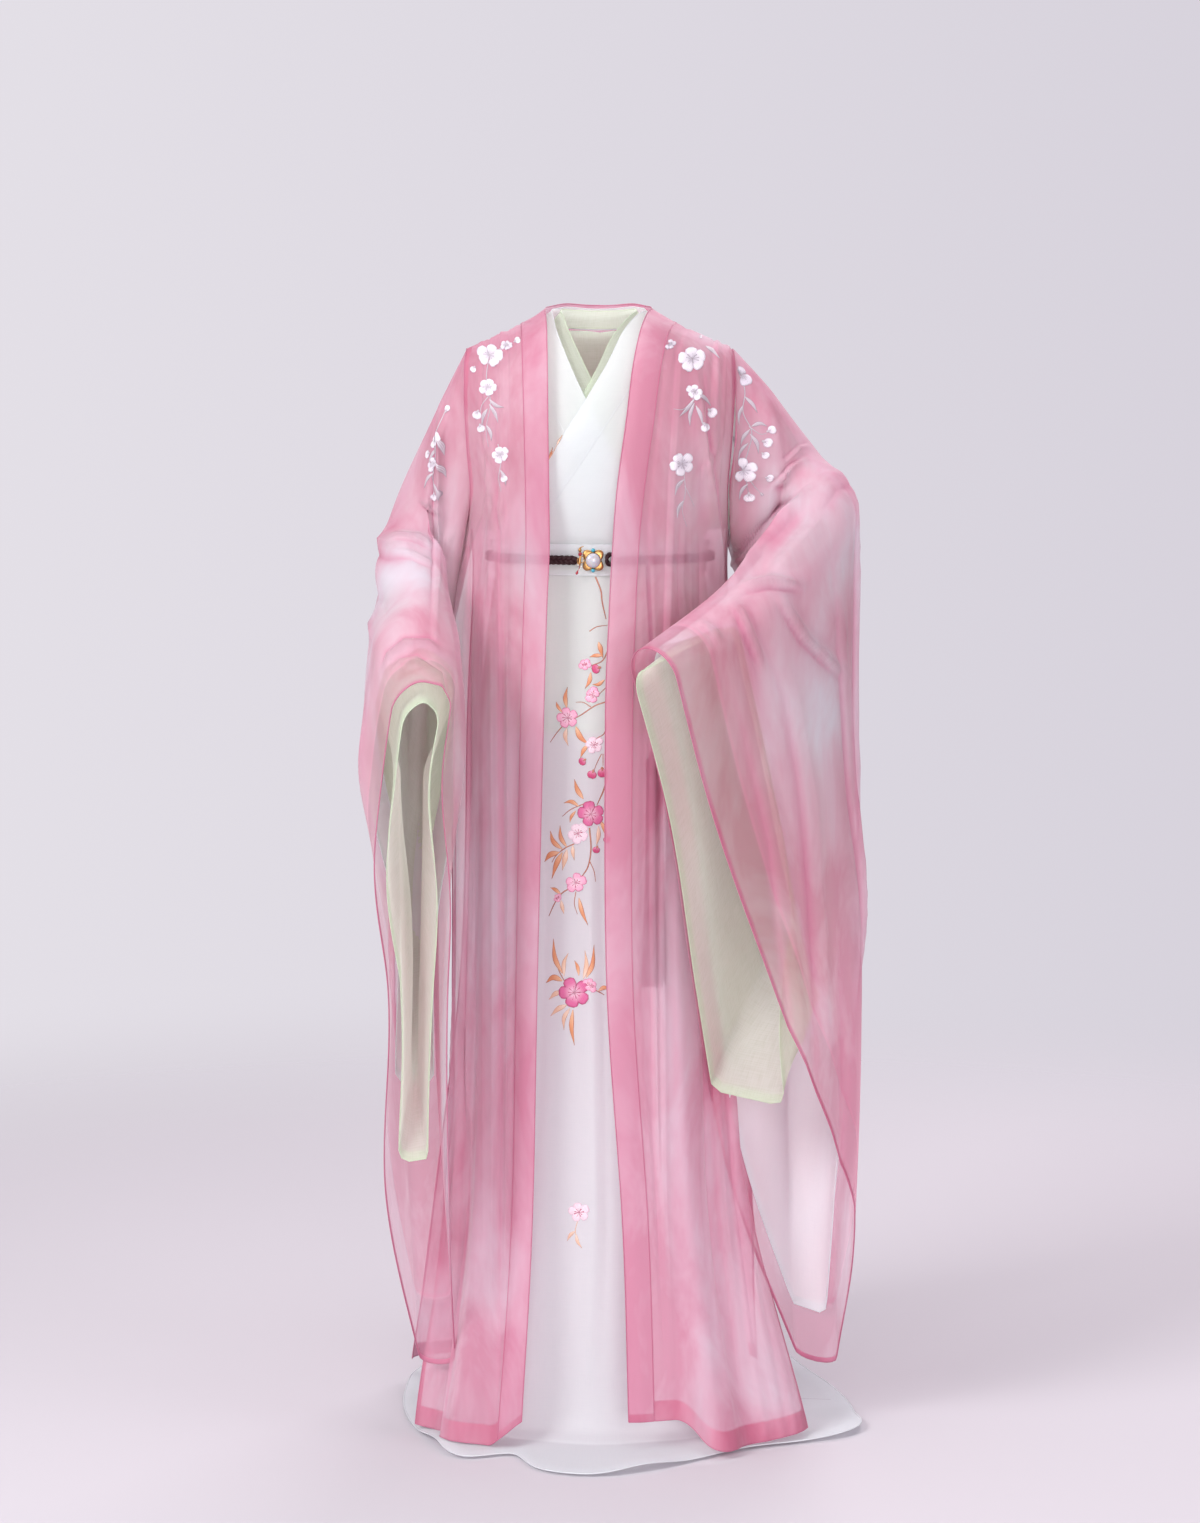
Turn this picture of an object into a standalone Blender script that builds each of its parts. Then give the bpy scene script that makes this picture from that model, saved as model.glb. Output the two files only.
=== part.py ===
"""A three-layer hanfu as it hangs on a standing figure: a green under-robe, a white cross-collar robe
with a waistband and belt, and a pink open outer robe with great sleeves.

Metres, +Z up, the front towards -Y, the wearer's left at +X. The origin is the middle of the neck opening,
NECK_HEIGHT above the floor that the hems reach. Every piece of cloth is a grid of points on its outer face,
worked out from a table of sections, and Solidify makes the wall inwards.
"""

import math

import bmesh
import bpy
import numpy as np

# ---------------------------------------------------------------- driving sizes
NECK_HEIGHT = 1.500  # the origin above the floor
CLOTH = 0.0015  # wall of the silk and cotton layers
SEAM = 0.0003  # gap between two pieces at a seam
SLEEVE_GAP = 0.0012  # gap at an armhole, where the sleeve turns down from the body
NECK_SIDE = 0.060  # where the shoulder slope starts, from the middle
SHOULDER_SOFTNESS = 0.02

UNDER_OFFSET = -0.0065  # outer face of the under-robe, out from the figure's table
ROBE_OFFSET = 0.0050  # outer face of the white robe
CROSSING = 0.0050  # how far its left front stands off where it crosses over the right one
UNDER_CROSSING = 0.0068  # the same for the under-robe
SLEEVE_LAYER = 0.007  # from one sleeve to the one inside it

WAIST_HEIGHT = 1.178
WAISTBAND_TALL = 0.040
WAISTBAND_OFFSET = ROBE_OFFSET + CROSSING + 0.0055
BELT_THICK = 0.0120

# The general figure from the back waist, over the shoulder ridge, to the front waist.
# height: at the neck side; half_width: of the whole ellipse; depth: back +, front -;
# slope: how far a row falls per metre towards the shoulder tip; armhole: where the cloth ends, degrees.
FIGURE_COLUMNS = ("height", "half_width", "depth", "slope", "armhole")
FIGURE = (
    (0.950, 0.160, 0.118, 0.00, 90.0),  # back hip
    (1.060, 0.146, 0.098, 0.00, 90.0),  # back high hip
    (1.178, 0.128, 0.078, 0.00, 90.0),  # back waist
    (1.215, 0.140, 0.086, 0.02, 90.0),  # back armpit
    (1.280, 0.158, 0.098, 0.12, 71.0),
    (1.360, 0.172, 0.100, 0.28, 66.0),  # shoulder blade
    (1.430, 0.184, 0.084, 0.40, 62.0),
    (1.474, 0.190, 0.052, 0.44, 60.0),  # back of the neck
    (1.492, 0.190, 0.000, 0.45, 59.0),  # shoulder ridge
    (1.472, 0.190, -0.056, 0.44, 60.0),  # collarbone
    (1.425, 0.184, -0.096, 0.38, 63.0),
    (1.350, 0.170, -0.120, 0.24, 67.0),  # chest
    (1.270, 0.155, -0.122, 0.08, 72.0),
    (1.215, 0.140, -0.112, 0.02, 90.0),  # front armpit
    (1.178, 0.128, -0.100, 0.00, 90.0),  # front waist
    (1.060, 0.146, -0.108, 0.00, 90.0),
    (0.950, 0.160, -0.118, 0.00, 90.0),  # front hip
)
BACK_WAIST, RIDGE, FRONT_WAIST = 2, 8, 14
ARMHOLE_ROWS = 5  # rows from the shoulder ridge down to the armpit, front and back
# Each robe's neckline at the centre back, as a row.
UNDER_NECK, ROBE_NECK, OUTER_NECK = 7.45, 7.0, 9.0

# The pink outer robe from the back hem over the shoulder to the front hem.
# left and right: the half widths on the wearer's left (+X) and right (-X).
OUTER_COLUMNS = ("height", "left", "right", "depth", "slope", "armhole")
OUTER = (
    (0.030, 0.236, 0.284, 0.260, 0.00, 66.0),  # back hem
    (0.300, 0.214, 0.232, 0.224, 0.00, 80.0),
    (0.620, 0.184, 0.190, 0.190, 0.00, 90.0),  # top of the side slit
    (0.960, 0.178, 0.180, 0.162, 0.00, 90.0),
    (1.110, 0.173, 0.173, 0.140, 0.00, 90.0),
    (1.195, 0.172, 0.172, 0.128, 0.04, 90.0),  # back armpit
    (1.270, 0.180, 0.180, 0.124, 0.12, 73.0),
    (1.360, 0.192, 0.192, 0.122, 0.28, 67.0),
    (1.438, 0.202, 0.202, 0.104, 0.40, 63.0),
    (1.488, 0.207, 0.207, 0.066, 0.44, 60.5),  # back of the neck
    (1.509, 0.208, 0.208, 0.000, 0.45, 59.0),  # shoulder ridge
    (1.488, 0.207, 0.207, -0.072, 0.44, 60.5),  # collarbone
    (1.438, 0.202, 0.202, -0.116, 0.40, 63.0),
    (1.360, 0.192, 0.192, -0.141, 0.28, 67.0),
    (1.270, 0.180, 0.180, -0.149, 0.12, 73.0),
    (1.195, 0.172, 0.172, -0.150, 0.04, 90.0),  # front armpit
    (1.110, 0.173, 0.173, -0.154, 0.00, 90.0),
    (0.960, 0.178, 0.178, -0.164, 0.00, 90.0),
    (0.620, 0.186, 0.190, -0.182, 0.00, 88.0),  # top of the side slit
    (0.300, 0.216, 0.216, -0.200, 0.00, 72.0),
    (0.060, 0.286, 0.262, -0.224, 0.00, 66.0),  # front hem, at the free edge
)
OUTER_RIDGE = 10
# The front hem falls nearer the floor away from the free edge, and its corner swings out.
HEM_FALL, HEM_FALL_FROM, HEM_FALL_OVER = 0.032, 22.0, 16.0
# The free edges of the fronts, as x at each row's height. seam is where the collar band joins the front.
# lift: how far the free edge stands up off the figure beside the neck.
EDGE_COLUMNS = ("row", "free", "seam", "lift")
OUTER_LEFT_EDGE = (
    (10.0, 0.0700, 0.1040, 0.006),
    (11.0, 0.0560, 0.0900, 0.002),
    (12.0, 0.0460, 0.0800, 0.0),
    (13.0, 0.0370, 0.0710, 0.0),
    (14.0, 0.0250, 0.0590, 0.0),
    (15.0, 0.0165, 0.0510, 0.0),
    (16.0, 0.0150, 0.0490, 0.0),
    (17.0, 0.0090, 0.0430, 0.0),
    (18.0, 0.0090, 0.0430, 0.0),
    (19.0, 0.0300, 0.0640, 0.0),
    (20.0, 0.0380, 0.0720, 0.0),
)
OUTER_RIGHT_EDGE = (
    (10.0, 0.0735, 0.1060, 0.006),
    (11.0, 0.0705, 0.1030, 0.002),
    (12.0, 0.0690, 0.1010, 0.0),
    (13.0, 0.0680, 0.0990, 0.0),
    (14.0, 0.0670, 0.0980, 0.0),
    (15.0, 0.0665, 0.0980, 0.0),
    (16.0, 0.0700, 0.1010, 0.0),
    (17.0, 0.0745, 0.1060, 0.0),
    (18.0, 0.0830, 0.1150, 0.0),
    (19.0, 0.0900, 0.1220, 0.0),
    (20.0, 0.1040, 0.1360, 0.0),
)
# The white robe: the left front crosses to the wearer's right side, the right one lies under it.
ROBE_LEFT_EDGE = (
    (8.0, 0.0600, 0.0930, 0.013),
    (9.0, 0.0330, 0.0790, 0.004),
    (10.0, 0.0060, 0.0530, 0.0),
    (11.0, -0.0410, 0.0050, 0.0),
    (12.0, -0.0960, -0.0480, 0.0),
    (13.0, -0.1270, -0.0840, 0.0),
    (14.0, -0.1270, -0.1000, 0.0),
)
ROBE_RIGHT_EDGE = (
    (8.0, 0.0640, 0.0960, 0.013),
    (9.0, 0.0560, 0.0960, 0.004),
    (10.0, 0.0360, 0.0830, 0.0),
    (11.0, 0.0000, 0.0480, 0.0),
    (12.0, -0.0400, 0.0080, 0.0),
    (13.0, -0.0700, -0.0220, 0.0),
    (14.0, -0.0880, -0.0400, 0.0),
)
UNDER_LEFT_EDGE = (
    (8.0, 0.0500, 0.0740, 0.022),
    (9.0, 0.0200, 0.0500, 0.006),
    (10.0, -0.0060, 0.0250, 0.0),
    (11.0, -0.0480, -0.0170, 0.0),
    (12.0, -0.0900, -0.0600, 0.0),
    (13.0, -0.1100, -0.0800, 0.0),
    (14.0, -0.1120, -0.0820, 0.0),
    (16.0, -0.1120, -0.0820, 0.0),
)
UNDER_RIGHT_EDGE = (
    (8.0, 0.0540, 0.0760, 0.022),
    (9.0, 0.0390, 0.0690, 0.006),
    (10.0, 0.0150, 0.0460, 0.0),
    (11.0, -0.0200, 0.0110, 0.0),
    (12.0, -0.0500, -0.0190, 0.0),
    (13.0, -0.0700, -0.0390, 0.0),
    (14.0, -0.0750, -0.0440, 0.0),
    (16.0, -0.0750, -0.0440, 0.0),
)
COLLAR_LIFT = 0.0012  # how far a collar band is padded up along its middle
SIDES = {1: "left", -1: "right"}  # the wearer's
COLLARS = {  # width of the band at the back of the neck, and its lean towards the neck
    "under": (0.024, 0.30),
    "robe": (0.030, 0.40),
    "outer": (0.026, 0.55),
}

# Shares of the armhole, from the shoulder ridge to the armpit, at which a body has its rows.
OUTER_SHARES = (0, 0.06, 0.13, 0.22, 0.35, 0.5, 0.65, 0.8, 0.9, 1)
INNER_SHARES = (0, 0.08, 0.2, 0.35, 0.5, 0.65, 0.8, 0.9, 1)

# Folds of the outer robe, as angle round the figure; depth and width at the hem, and where each begins.
FOLD_COLUMNS = ("angle", "width", "depth", "top_row")
LEFT_FRONT_FOLDS = (
    (32.0, 5.0, 0.011, 13.0),
    (45.0, 5.5, -0.010, 12.0),
    (58.0, 6.0, 0.014, 14.0),
    (66.0, 6.0, 0.018, 18.8),
)
RIGHT_FRONT_FOLDS = (
    (36.0, 5.0, -0.009, 13.0),
    (47.0, 5.0, 0.014, 12.0),
    (59.0, 5.0, -0.010, 14.0),
    (68.0, 6.0, 0.014, 18.0),
)
BACK_FOLDS = (
    (11.0, 5.0, 0.012, 7.0),
    (24.0, 5.5, -0.010, 6.0),
    (37.0, 5.0, 0.014, 7.5),
    (51.0, 6.0, -0.011, 6.0),
    (64.0, 5.0, 0.010, 4.5),
)

# The great sleeves. Each station is a hanging loop: top and bottom points (height above the floor), the
# way its outer side faces at the top and low down in degrees, the cap radius, and the half widths at a
# fifth, nearly half and three quarters of its depth and at its foot. The shifts carry its middle sideways
# at the same three places, and back_low carries its lower part backwards (+) or forwards (-).
SLEEVE_COLUMNS = (
    "top_x", "top_y", "top_h", "foot_x", "foot_y", "foot_h", "out_top", "out_low", "cap",
    "high", "mid", "low", "foot", "shift_high", "shift_mid", "shift_low", "back_low",
)
LEFT_SLEEVE = (
    (0.180, 0.000, 1.455, 0.176, 0.015, 1.190, 90, 90, 0.046,
     0.056, 0.058, 0.056, 0.036, 0.000, 0.000, 0.000, 0.000),
    (0.236, 0.004, 1.392, 0.218, 0.030, 1.020, 88, 84, 0.048,
     0.054, 0.060, 0.058, 0.034, 0.000, 0.000, 0.000, 0.000),
    (0.280, -0.002, 1.324, 0.254, 0.028, 0.830, 54, 52, 0.048,
     0.054, 0.058, 0.056, 0.034, 0.000, 0.003, 0.004, 0.000),
    (0.293, -0.062, 1.272, 0.276, -0.006, 0.600, 8, 16, 0.048,
     0.052, 0.052, 0.056, 0.032, 0.000, 0.006, 0.012, -0.008),
    (0.184, -0.186, 1.160, 0.288, -0.036, 0.320, -34, -20, 0.046,
     0.054, 0.060, 0.066, 0.032, 0.003, 0.012, 0.026, -0.022),
    (0.060, -0.290, 1.076, 0.304, -0.060, 0.078, -41, -38, 0.040,
     0.044, 0.068, 0.080, 0.022, 0.004, 0.016, 0.036, -0.034),
)
RIGHT_SLEEVE = (
    (-0.180, 0.000, 1.452, -0.176, 0.015, 1.190, 90, 90, 0.046,
     0.056, 0.058, 0.056, 0.036, 0.000, 0.000, 0.000, 0.000),
    (-0.222, 0.004, 1.368, -0.212, 0.028, 1.010, 96, 96, 0.048,
     0.054, 0.056, 0.054, 0.034, 0.000, 0.000, 0.000, 0.000),
    (-0.256, -0.006, 1.276, -0.236, 0.012, 0.840, 120, 114, 0.048,
     0.052, 0.052, 0.050, 0.034, 0.000, 0.000, 0.000, 0.000),
    (-0.254, -0.074, 1.190, -0.240, -0.044, 0.640, 166, 146, 0.048,
     0.056, 0.048, 0.046, 0.032, 0.000, -0.004, -0.006, -0.008),
    (-0.236, -0.182, 1.122, -0.234, -0.092, 0.360, 184, 164, 0.050,
     0.070, 0.044, 0.042, 0.030, -0.008, -0.008, -0.012, -0.026),
    (-0.223, -0.292, 1.068, -0.218, -0.140, 0.098, 187, 168, 0.044,
     0.074, 0.040, 0.042, 0.024, -0.021, -0.015, -0.020, -0.050),
)
SLEEVE_STATIONS = (0, 0.35, 0.75, 1.15, 1.5, 1.85, 2.2, 2.55, 2.95, 3.4, 4.0, 4.55, 5.0)
TOP_CROWDING = 1.6  # past the armhole the loops' points crowd towards the arm by this power
# How deep each layer's bag hangs as a share of the outer one's, at the armhole and at the cuff; where its
# cuff lies, in stations; and how far its lower cuff reaches towards the outer side.
LAYER_COLUMNS = ("inset", "armhole_share", "cuff_share", "cuff_station", "reach")
LEFT_LAYERS = {
    "outer": (0, 1.0, 1.0, 5.0, 1.0),
    "robe": (1, 1.0, 0.94, 4.80, 0.66),
    "under": (2, 1.0, 0.64, 5.08, 0.55),
}
RIGHT_LAYERS = {
    "outer": (0, 1.0, 1.0, 5.0, 1.0),
    "robe": (1, 1.0, 0.80, 4.70, 1.0),
    "under": (2, 1.0, 0.72, 5.08, 1.0),
}

# The skirt of the white robe from the waist to the hem that lies on the floor.
SKIRT_COLUMNS = ("height", "left", "right", "front", "back", "wave")
SKIRT = (
    (1.1620, 0.1406, 0.1406, 0.1126, 0.0901, 0.000),
    (1.0600, 0.1540, 0.1540, 0.1140, 0.1080, 0.002),
    (0.9500, 0.1620, 0.1620, 0.1200, 0.1260, 0.003),
    (0.7600, 0.1660, 0.1660, 0.1270, 0.1400, 0.004),
    (0.5000, 0.1720, 0.1720, 0.1380, 0.1560, 0.006),
    (0.2600, 0.1860, 0.1830, 0.1520, 0.1740, 0.008),
    (0.0900, 0.2040, 0.1980, 0.1660, 0.1940, 0.008),
    (0.0260, 0.2180, 0.2080, 0.1800, 0.2120, 0.006),
    (0.0080, 0.2440, 0.2240, 0.2080, 0.2420, 0.003),
)
SKIRT_WAVES = 11
# The hem on the floor: how far out it reaches, by the angle round from the front to the wearer's left.
HEM_COLUMNS = ("angle", "reach")
HEM = (
    (-180, 0.385), (-145, 0.345), (-110, 0.285), (-79, 0.272), (-51, 0.288), (-36, 0.304), (-27, 0.262),
    (-15, 0.306), (0, 0.318), (12, 0.303), (27, 0.284), (47, 0.292), (57, 0.327), (68, 0.372),
    (82, 0.352), (110, 0.330), (145, 0.358), (180, 0.385),
)
HEM_HEIGHT = 0.0045  # outer face of the hem above the floor
HEM_LIFT = 0.007  # its highest ripple above that

# The belt's buckle, knot, charm and tassel
BUCKLE_X = -0.0090
STONE_RADIUS, STONE_FLAT = 0.0086, 0.62
SETTING_RADIUS, SETTING_LEAF = 0.0100, 0.0055  # of its round plate, and how far its four leaves stand out
SETTING_STAND = 0.0027  # its flat back in front of the waistband's middle, to clear the flare above
# The setting's section from the middle of its back to the middle of its front: radius (None: the leafy edge,
# times the share after it) and depth in front of its back
SETTING_SECTION = ((None, 0.90, 0.0000), (None, 1.00, 0.0012), (None, 0.92, 0.0022), (0.0094, 1.0, 0.0026), (0.0091, 1.0, 0.0012))
BEAD_RADIUS = 0.0026
BELT_END = -0.0284  # where the belt's cord stops beside the charm
KNOT_X, KNOT_RADIUS, KNOT_TALL, KNOT_CORD = 0.0150, 0.0040, 0.0060, 0.0034
# x, height above the belt and radius along the gilt charm beside the buckle, and its red drop
CHARM = (
    (-0.0215, 0.0185, 0.0004), (-0.0240, 0.0178, 0.0006), (-0.0262, 0.0158, 0.0014), (-0.0264, 0.0136, 0.0024),
    (-0.0262, 0.0112, 0.0014), (-0.0256, 0.0070, 0.0010), (-0.0262, 0.0020, 0.0016), (-0.0268, -0.0030, 0.0018),
    (-0.0264, -0.0070, 0.0008),
)
CHARM_DROP = (
    (-0.0265, -0.0074, 0.0005), (-0.0276, -0.0110, 0.0005), (-0.0292, -0.0140, 0.0008), (-0.0304, -0.0168, 0.0018),
    (-0.0310, -0.0186, 0.0008),
)
TASSEL_X, TASSEL_DRIFT, TASSEL_Y = 0.063, 0.009, -0.1365
TASSEL_HALF_WIDTH, TASSEL_HALF_DEPTH = 0.0130, 0.0065
TASSEL_TOP, TASSEL_NECK, TASSEL_FOOT = 0.930, 0.900, 0.615
STRAND_ROWS, STRAND_COLUMNS = 3, 8

COLOURS = {  # base colour, roughness, metallic
    "outer_silk": ((0.78, 0.36, 0.48), 0.55, 0.0),
    "robe_white": ((0.86, 0.85, 0.88), 0.65, 0.0),
    "under_green": ((0.66, 0.72, 0.60), 0.75, 0.0),
    "belt_cord": ((0.045, 0.014, 0.018), 0.6, 0.0),
    "gilt": ((0.75, 0.48, 0.18), 0.3, 1.0),
    "stone": ((0.80, 0.80, 0.84), 0.25, 0.0),
    "stone_red": ((0.40, 0.01, 0.03), 0.25, 0.0),
    "turquoise": ((0.10, 0.45, 0.55), 0.3, 0.0),
    "tassel": ((0.060, 0.020, 0.035), 0.7, 0.0),
}


# ---------------------------------------------------------------- small helpers
def smooth_step(x):
    x = np.clip(x, 0.0, 1.0)
    return x * x * (3 - 2 * x)


def along_table(table, position, knots=None):
    """Every column of a table at a fractional row, on a smooth curve through the rows."""
    rows = np.array(table, float)
    knots = np.arange(len(rows), dtype=float) if knots is None else np.asarray(knots, float)
    position = np.clip(np.asarray(position, float), knots[0], knots[-1])
    low = np.clip(np.searchsorted(knots, position, side="right") - 1, 0, len(rows) - 2)
    tangents = np.gradient(rows, knots, axis=0)
    span = (knots[low + 1] - knots[low])[..., None]
    f = (position[..., None] - knots[low][..., None]) / span
    return (
        rows[low] * (2 * f**3 - 3 * f**2 + 1)
        + tangents[low] * span * (f**3 - 2 * f**2 + f)
        + rows[low + 1] * (3 * f**2 - 2 * f**3)
        + tangents[low + 1] * span * (f**3 - f**2)
    )


def edge_x(edge, row, column):
    """x of a front's free edge (column 1), band seam (2) or lift (3) at a fractional row."""
    table = np.array(edge, float)
    return along_table(table[:, 1:], row, table[:, 0])[..., column - 1]


def material(name):
    found = bpy.data.materials.get(name)
    if found is None:
        colour, roughness, metallic = COLOURS[name]
        found = bpy.data.materials.new(name)
        found.use_nodes = True
        shader = found.node_tree.nodes["Principled BSDF"]
        shader.inputs["Base Color"].default_value = (*colour, 1.0)
        shader.inputs["Roughness"].default_value = roughness
        shader.inputs["Metallic"].default_value = metallic
    return found


def add_object(name, mesh, slot):
    obj = bpy.data.objects.new(name, mesh)
    obj.data.materials.clear()
    obj.data.materials.append(material(slot))
    bpy.data.collections["Hanfu"].objects.link(obj)
    return obj


def cloth(name, grid, slot, closed=False, thickness=CLOTH):
    """A wall of cloth whose outer face is the grid; rows x columns point outwards by the right hand."""
    rows, columns = grid.shape[:2]
    points = grid.reshape(-1, 3).copy()
    points[:, 2] -= NECK_HEIGHT
    faces = []
    for i in range(rows - 1):
        for j in range(columns if closed else columns - 1):
            k = (j + 1) % columns
            here, below = i * columns, (i + 1) * columns
            faces += [(here + j, below + j, below + k), (here + j, below + k, here + k)]
    mesh = bpy.data.meshes.new(name)
    mesh.from_pydata([tuple(p) for p in points], [], faces)
    mesh.shade_smooth()
    obj = add_object(name, mesh, slot)
    wall = obj.modifiers.new("wall", "SOLIDIFY")
    wall.thickness = thickness
    wall.offset = -1.0
    wall.use_rim = True
    return obj


# ---------------------------------------------------------------- body cloths
class Robe:
    """One robe's tables: its body's sections, the free edges of its fronts, and how far out it stands."""

    def __init__(self, name, slot, table, ridge, neck_row, edges, shares, offset, fold=None, fall=None):
        self.name, self.slot, self.table, self.ridge = name, slot, table, ridge
        self.neck_row, self.edges, self.shares = neck_row, edges, shares
        self.offset, self.fold, self.fall = offset, fold, fall

    def half_width(self, row, angle):
        values = along_table(self.table, row)
        if values.shape[-1] == len(OUTER_COLUMNS):
            blend = smooth_step(0.5 + np.sin(angle))
            return values[..., 2] + (values[..., 1] - values[..., 2]) * blend
        return values[..., 1]

    def bare(self, row, angle):
        values = along_table(self.table, row)
        x = self.half_width(row, angle) * np.sin(angle)
        past_neck = np.abs(x) - NECK_SIDE
        fall = (past_neck + np.sqrt(past_neck**2 + SHOULDER_SOFTNESS**2)) / 2
        height = values[..., 0] - values[..., -2] * fall
        if self.fall is not None:
            height = height - self.fall(row, angle)
        return np.stack([x, values[..., -3] * np.cos(angle), height], axis=-1)

    def point(self, side, row, angle, extra=0.0):
        """Points on the cloth's outer face at fractional rows and angles (radians, 0 at the middle, + to the
        wearer's left), as it is cut for one side, and extra metres further out."""
        row, angle = np.broadcast_arrays(np.asarray(row, float), np.asarray(angle, float))
        step = 1e-3
        down, up = np.minimum(row + step, len(self.table) - 1), np.maximum(row - step, 0)
        along = (self.bare(down, angle) - self.bare(up, angle)) / (down - up)[..., None]
        across = (self.bare(row, angle + step) - self.bare(row, angle - step)) / (2 * step)
        normal = np.cross(along, across)
        normal /= np.linalg.norm(normal, axis=-1, keepdims=True)
        push = self.offset(side, row, angle) + extra
        if self.fold is not None:
            push = push + self.fold(side, row, angle)
        return self.bare(row, angle) + normal * np.broadcast_to(push, row.shape)[..., None]

    def angle_at(self, row, x):
        """The angle round the figure at which a row passes x."""
        angle = np.arcsin(np.clip(x / self.half_width(row, np.sign(x) * 0.5), -0.995, 0.995))
        for _ in range(4):  # the two half widths blend across the middle
            angle = np.arcsin(np.clip(x / self.half_width(row, angle), -0.995, 0.995))
        return angle

    def armhole(self, row):
        return np.radians(np.minimum(along_table(self.table, row)[..., -1], 90.0))

    def armhole_rows(self):
        """The body's rows that end at the armhole, front armpit first."""
        front = [self.ridge + ARMHOLE_ROWS * share for share in self.shares]
        back = [self.ridge - ARMHOLE_ROWS * share for share in self.shares[1:]]
        return front[::-1] + back

    def start(self, side, row):
        """Where a half body begins: the band seam in front, the neckline, and the centre back."""
        seam = edge_x(self.edges[side], np.maximum(row, self.ridge), 2)
        share = np.clip((self.ridge - row) / (self.ridge - self.neck_row), 0, 1)
        seam = seam * np.sqrt(np.maximum(1 - share**2, 0))
        centre = side * SEAM / self.half_width(row, 0 * row)
        return np.where(row <= self.neck_row, centre, self.angle_at(row, side * seam))

    def half_body(self, side, low_rows, columns):
        """One half of the body, a single cloth from the front hem over the shoulder to the back hem."""
        rows = np.array(sorted(set(self.armhole_rows()) | set(low_rows)))
        start = self.start(side, rows)
        end = side * (self.armhole(rows) - SEAM / 0.17)
        share = np.linspace(0, 1, columns)
        if side < 0:
            start, end = end, start
        angle = start[:, None] + (end - start)[:, None] * share
        row = np.broadcast_to(rows[:, None], angle.shape)
        cloth(f"{self.name}_body_{SIDES[side]}", self.point(side, row, angle), self.slot)

    def collar(self, side, low_rows, strips=3):
        """The band along the free edge of a front, over the shoulder and round to the centre back, where it
        stands up from the neckline."""
        width, lean = COLLARS[self.name]
        edge = self.edges[side]
        low = [row for row in low_rows if row >= self.ridge]
        front = sorted(set(low) | {self.ridge + ARMHOLE_ROWS * s for s in self.shares}, reverse=True)
        front = np.array(front)
        seam_x, free_x, lift = (edge_x(edge, front, column) for column in (2, 1, 3))
        share = np.linspace(0, 1, strips + 1)
        x = side * ((seam_x - 2 * SEAM)[:, None] + (free_x - seam_x + 2 * SEAM)[:, None] * share)
        row = np.broadcast_to(front[:, None], x.shape)
        lying = self.point(side, row, self.angle_at(row, x), COLLAR_LIFT * np.sin(np.pi * share))
        lying[..., 2] += lift[:, None] * share**2
        across = lying[-1, -1] - lying[-1, 0]
        standing = np.array([0.0, -lean, 1.0])
        standing *= width / np.linalg.norm(standing)
        back = []
        for turn in np.radians((18, 36, 54, 72, 90)):
            at = self.ridge - (self.ridge - self.neck_row) * math.sin(turn)
            seam = (edge_x(edge, self.ridge, 2) - 2 * SEAM) * math.cos(turn)
            seam = max(seam, 1.5 * SEAM)
            root = self.point(side, at, self.angle_at(np.array(at), side * seam))
            root[2] += 11 * SEAM
            blend = smooth_step(math.sin(turn) ** 1.2)
            reach = across * (1 - blend) + standing * blend
            reach[0] = across[0] * math.cos(turn) ** 1.5
            back.append(root + reach * share[:, None])
        grid = np.concatenate([lying, np.array(back)])[::-1]
        cloth(f"{self.name}_collar_{SIDES[side]}", grid[:, ::-1] if side > 0 else grid, self.slot)

    def armhole_edge(self, side, shares):
        """(back, front) points of the armhole's edge, on the straight runs between the body's rows."""
        made = np.array(self.shares, float)
        edges = []
        for way in (-1, 1):
            row = self.ridge + way * ARMHOLE_ROWS * made
            points = self.point(side, row, side * self.armhole(row))
            edges.append(np.stack([np.interp(shares, made, points[:, k]) for k in range(3)], axis=-1))
        return edges


def crossing_offset(base, crossing):
    """The left front stands off to clear the right one it crosses, and comes back in at the side seam."""

    def offset(side, row, angle):
        if side < 0:
            return base + 0 * row
        front = smooth_step((row - (RIDGE + 0.2)) / 1.3)
        off_side = smooth_step((np.radians(72) - angle) / np.radians(30))
        return base + crossing * front * off_side

    return offset


def outer_fold(side, row, angle):
    """How far the outer robe's vertical folds carry it out."""
    degrees = np.abs(np.degrees(angle))
    total = np.zeros_like(degrees)
    for centre, width, depth, top in LEFT_FRONT_FOLDS if side > 0 else RIGHT_FRONT_FOLDS:
        grown = smooth_step((row - top) / (20 - top)) ** 0.8
        total = total + depth * grown * np.exp(-(((degrees - centre) / width) ** 2))
    for centre, width, depth, top in BACK_FOLDS:
        grown = smooth_step((top - row) / top) ** 0.8
        total = total + depth * grown * np.exp(-(((degrees - centre) / width) ** 2))
    return total


def hem_fall(row, angle):
    """How far the outer robe's front hem drops below its free corner."""
    away = smooth_step((np.abs(np.degrees(angle)) - HEM_FALL_FROM) / HEM_FALL_OVER)
    return HEM_FALL * away * smooth_step(row - 19)


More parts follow.
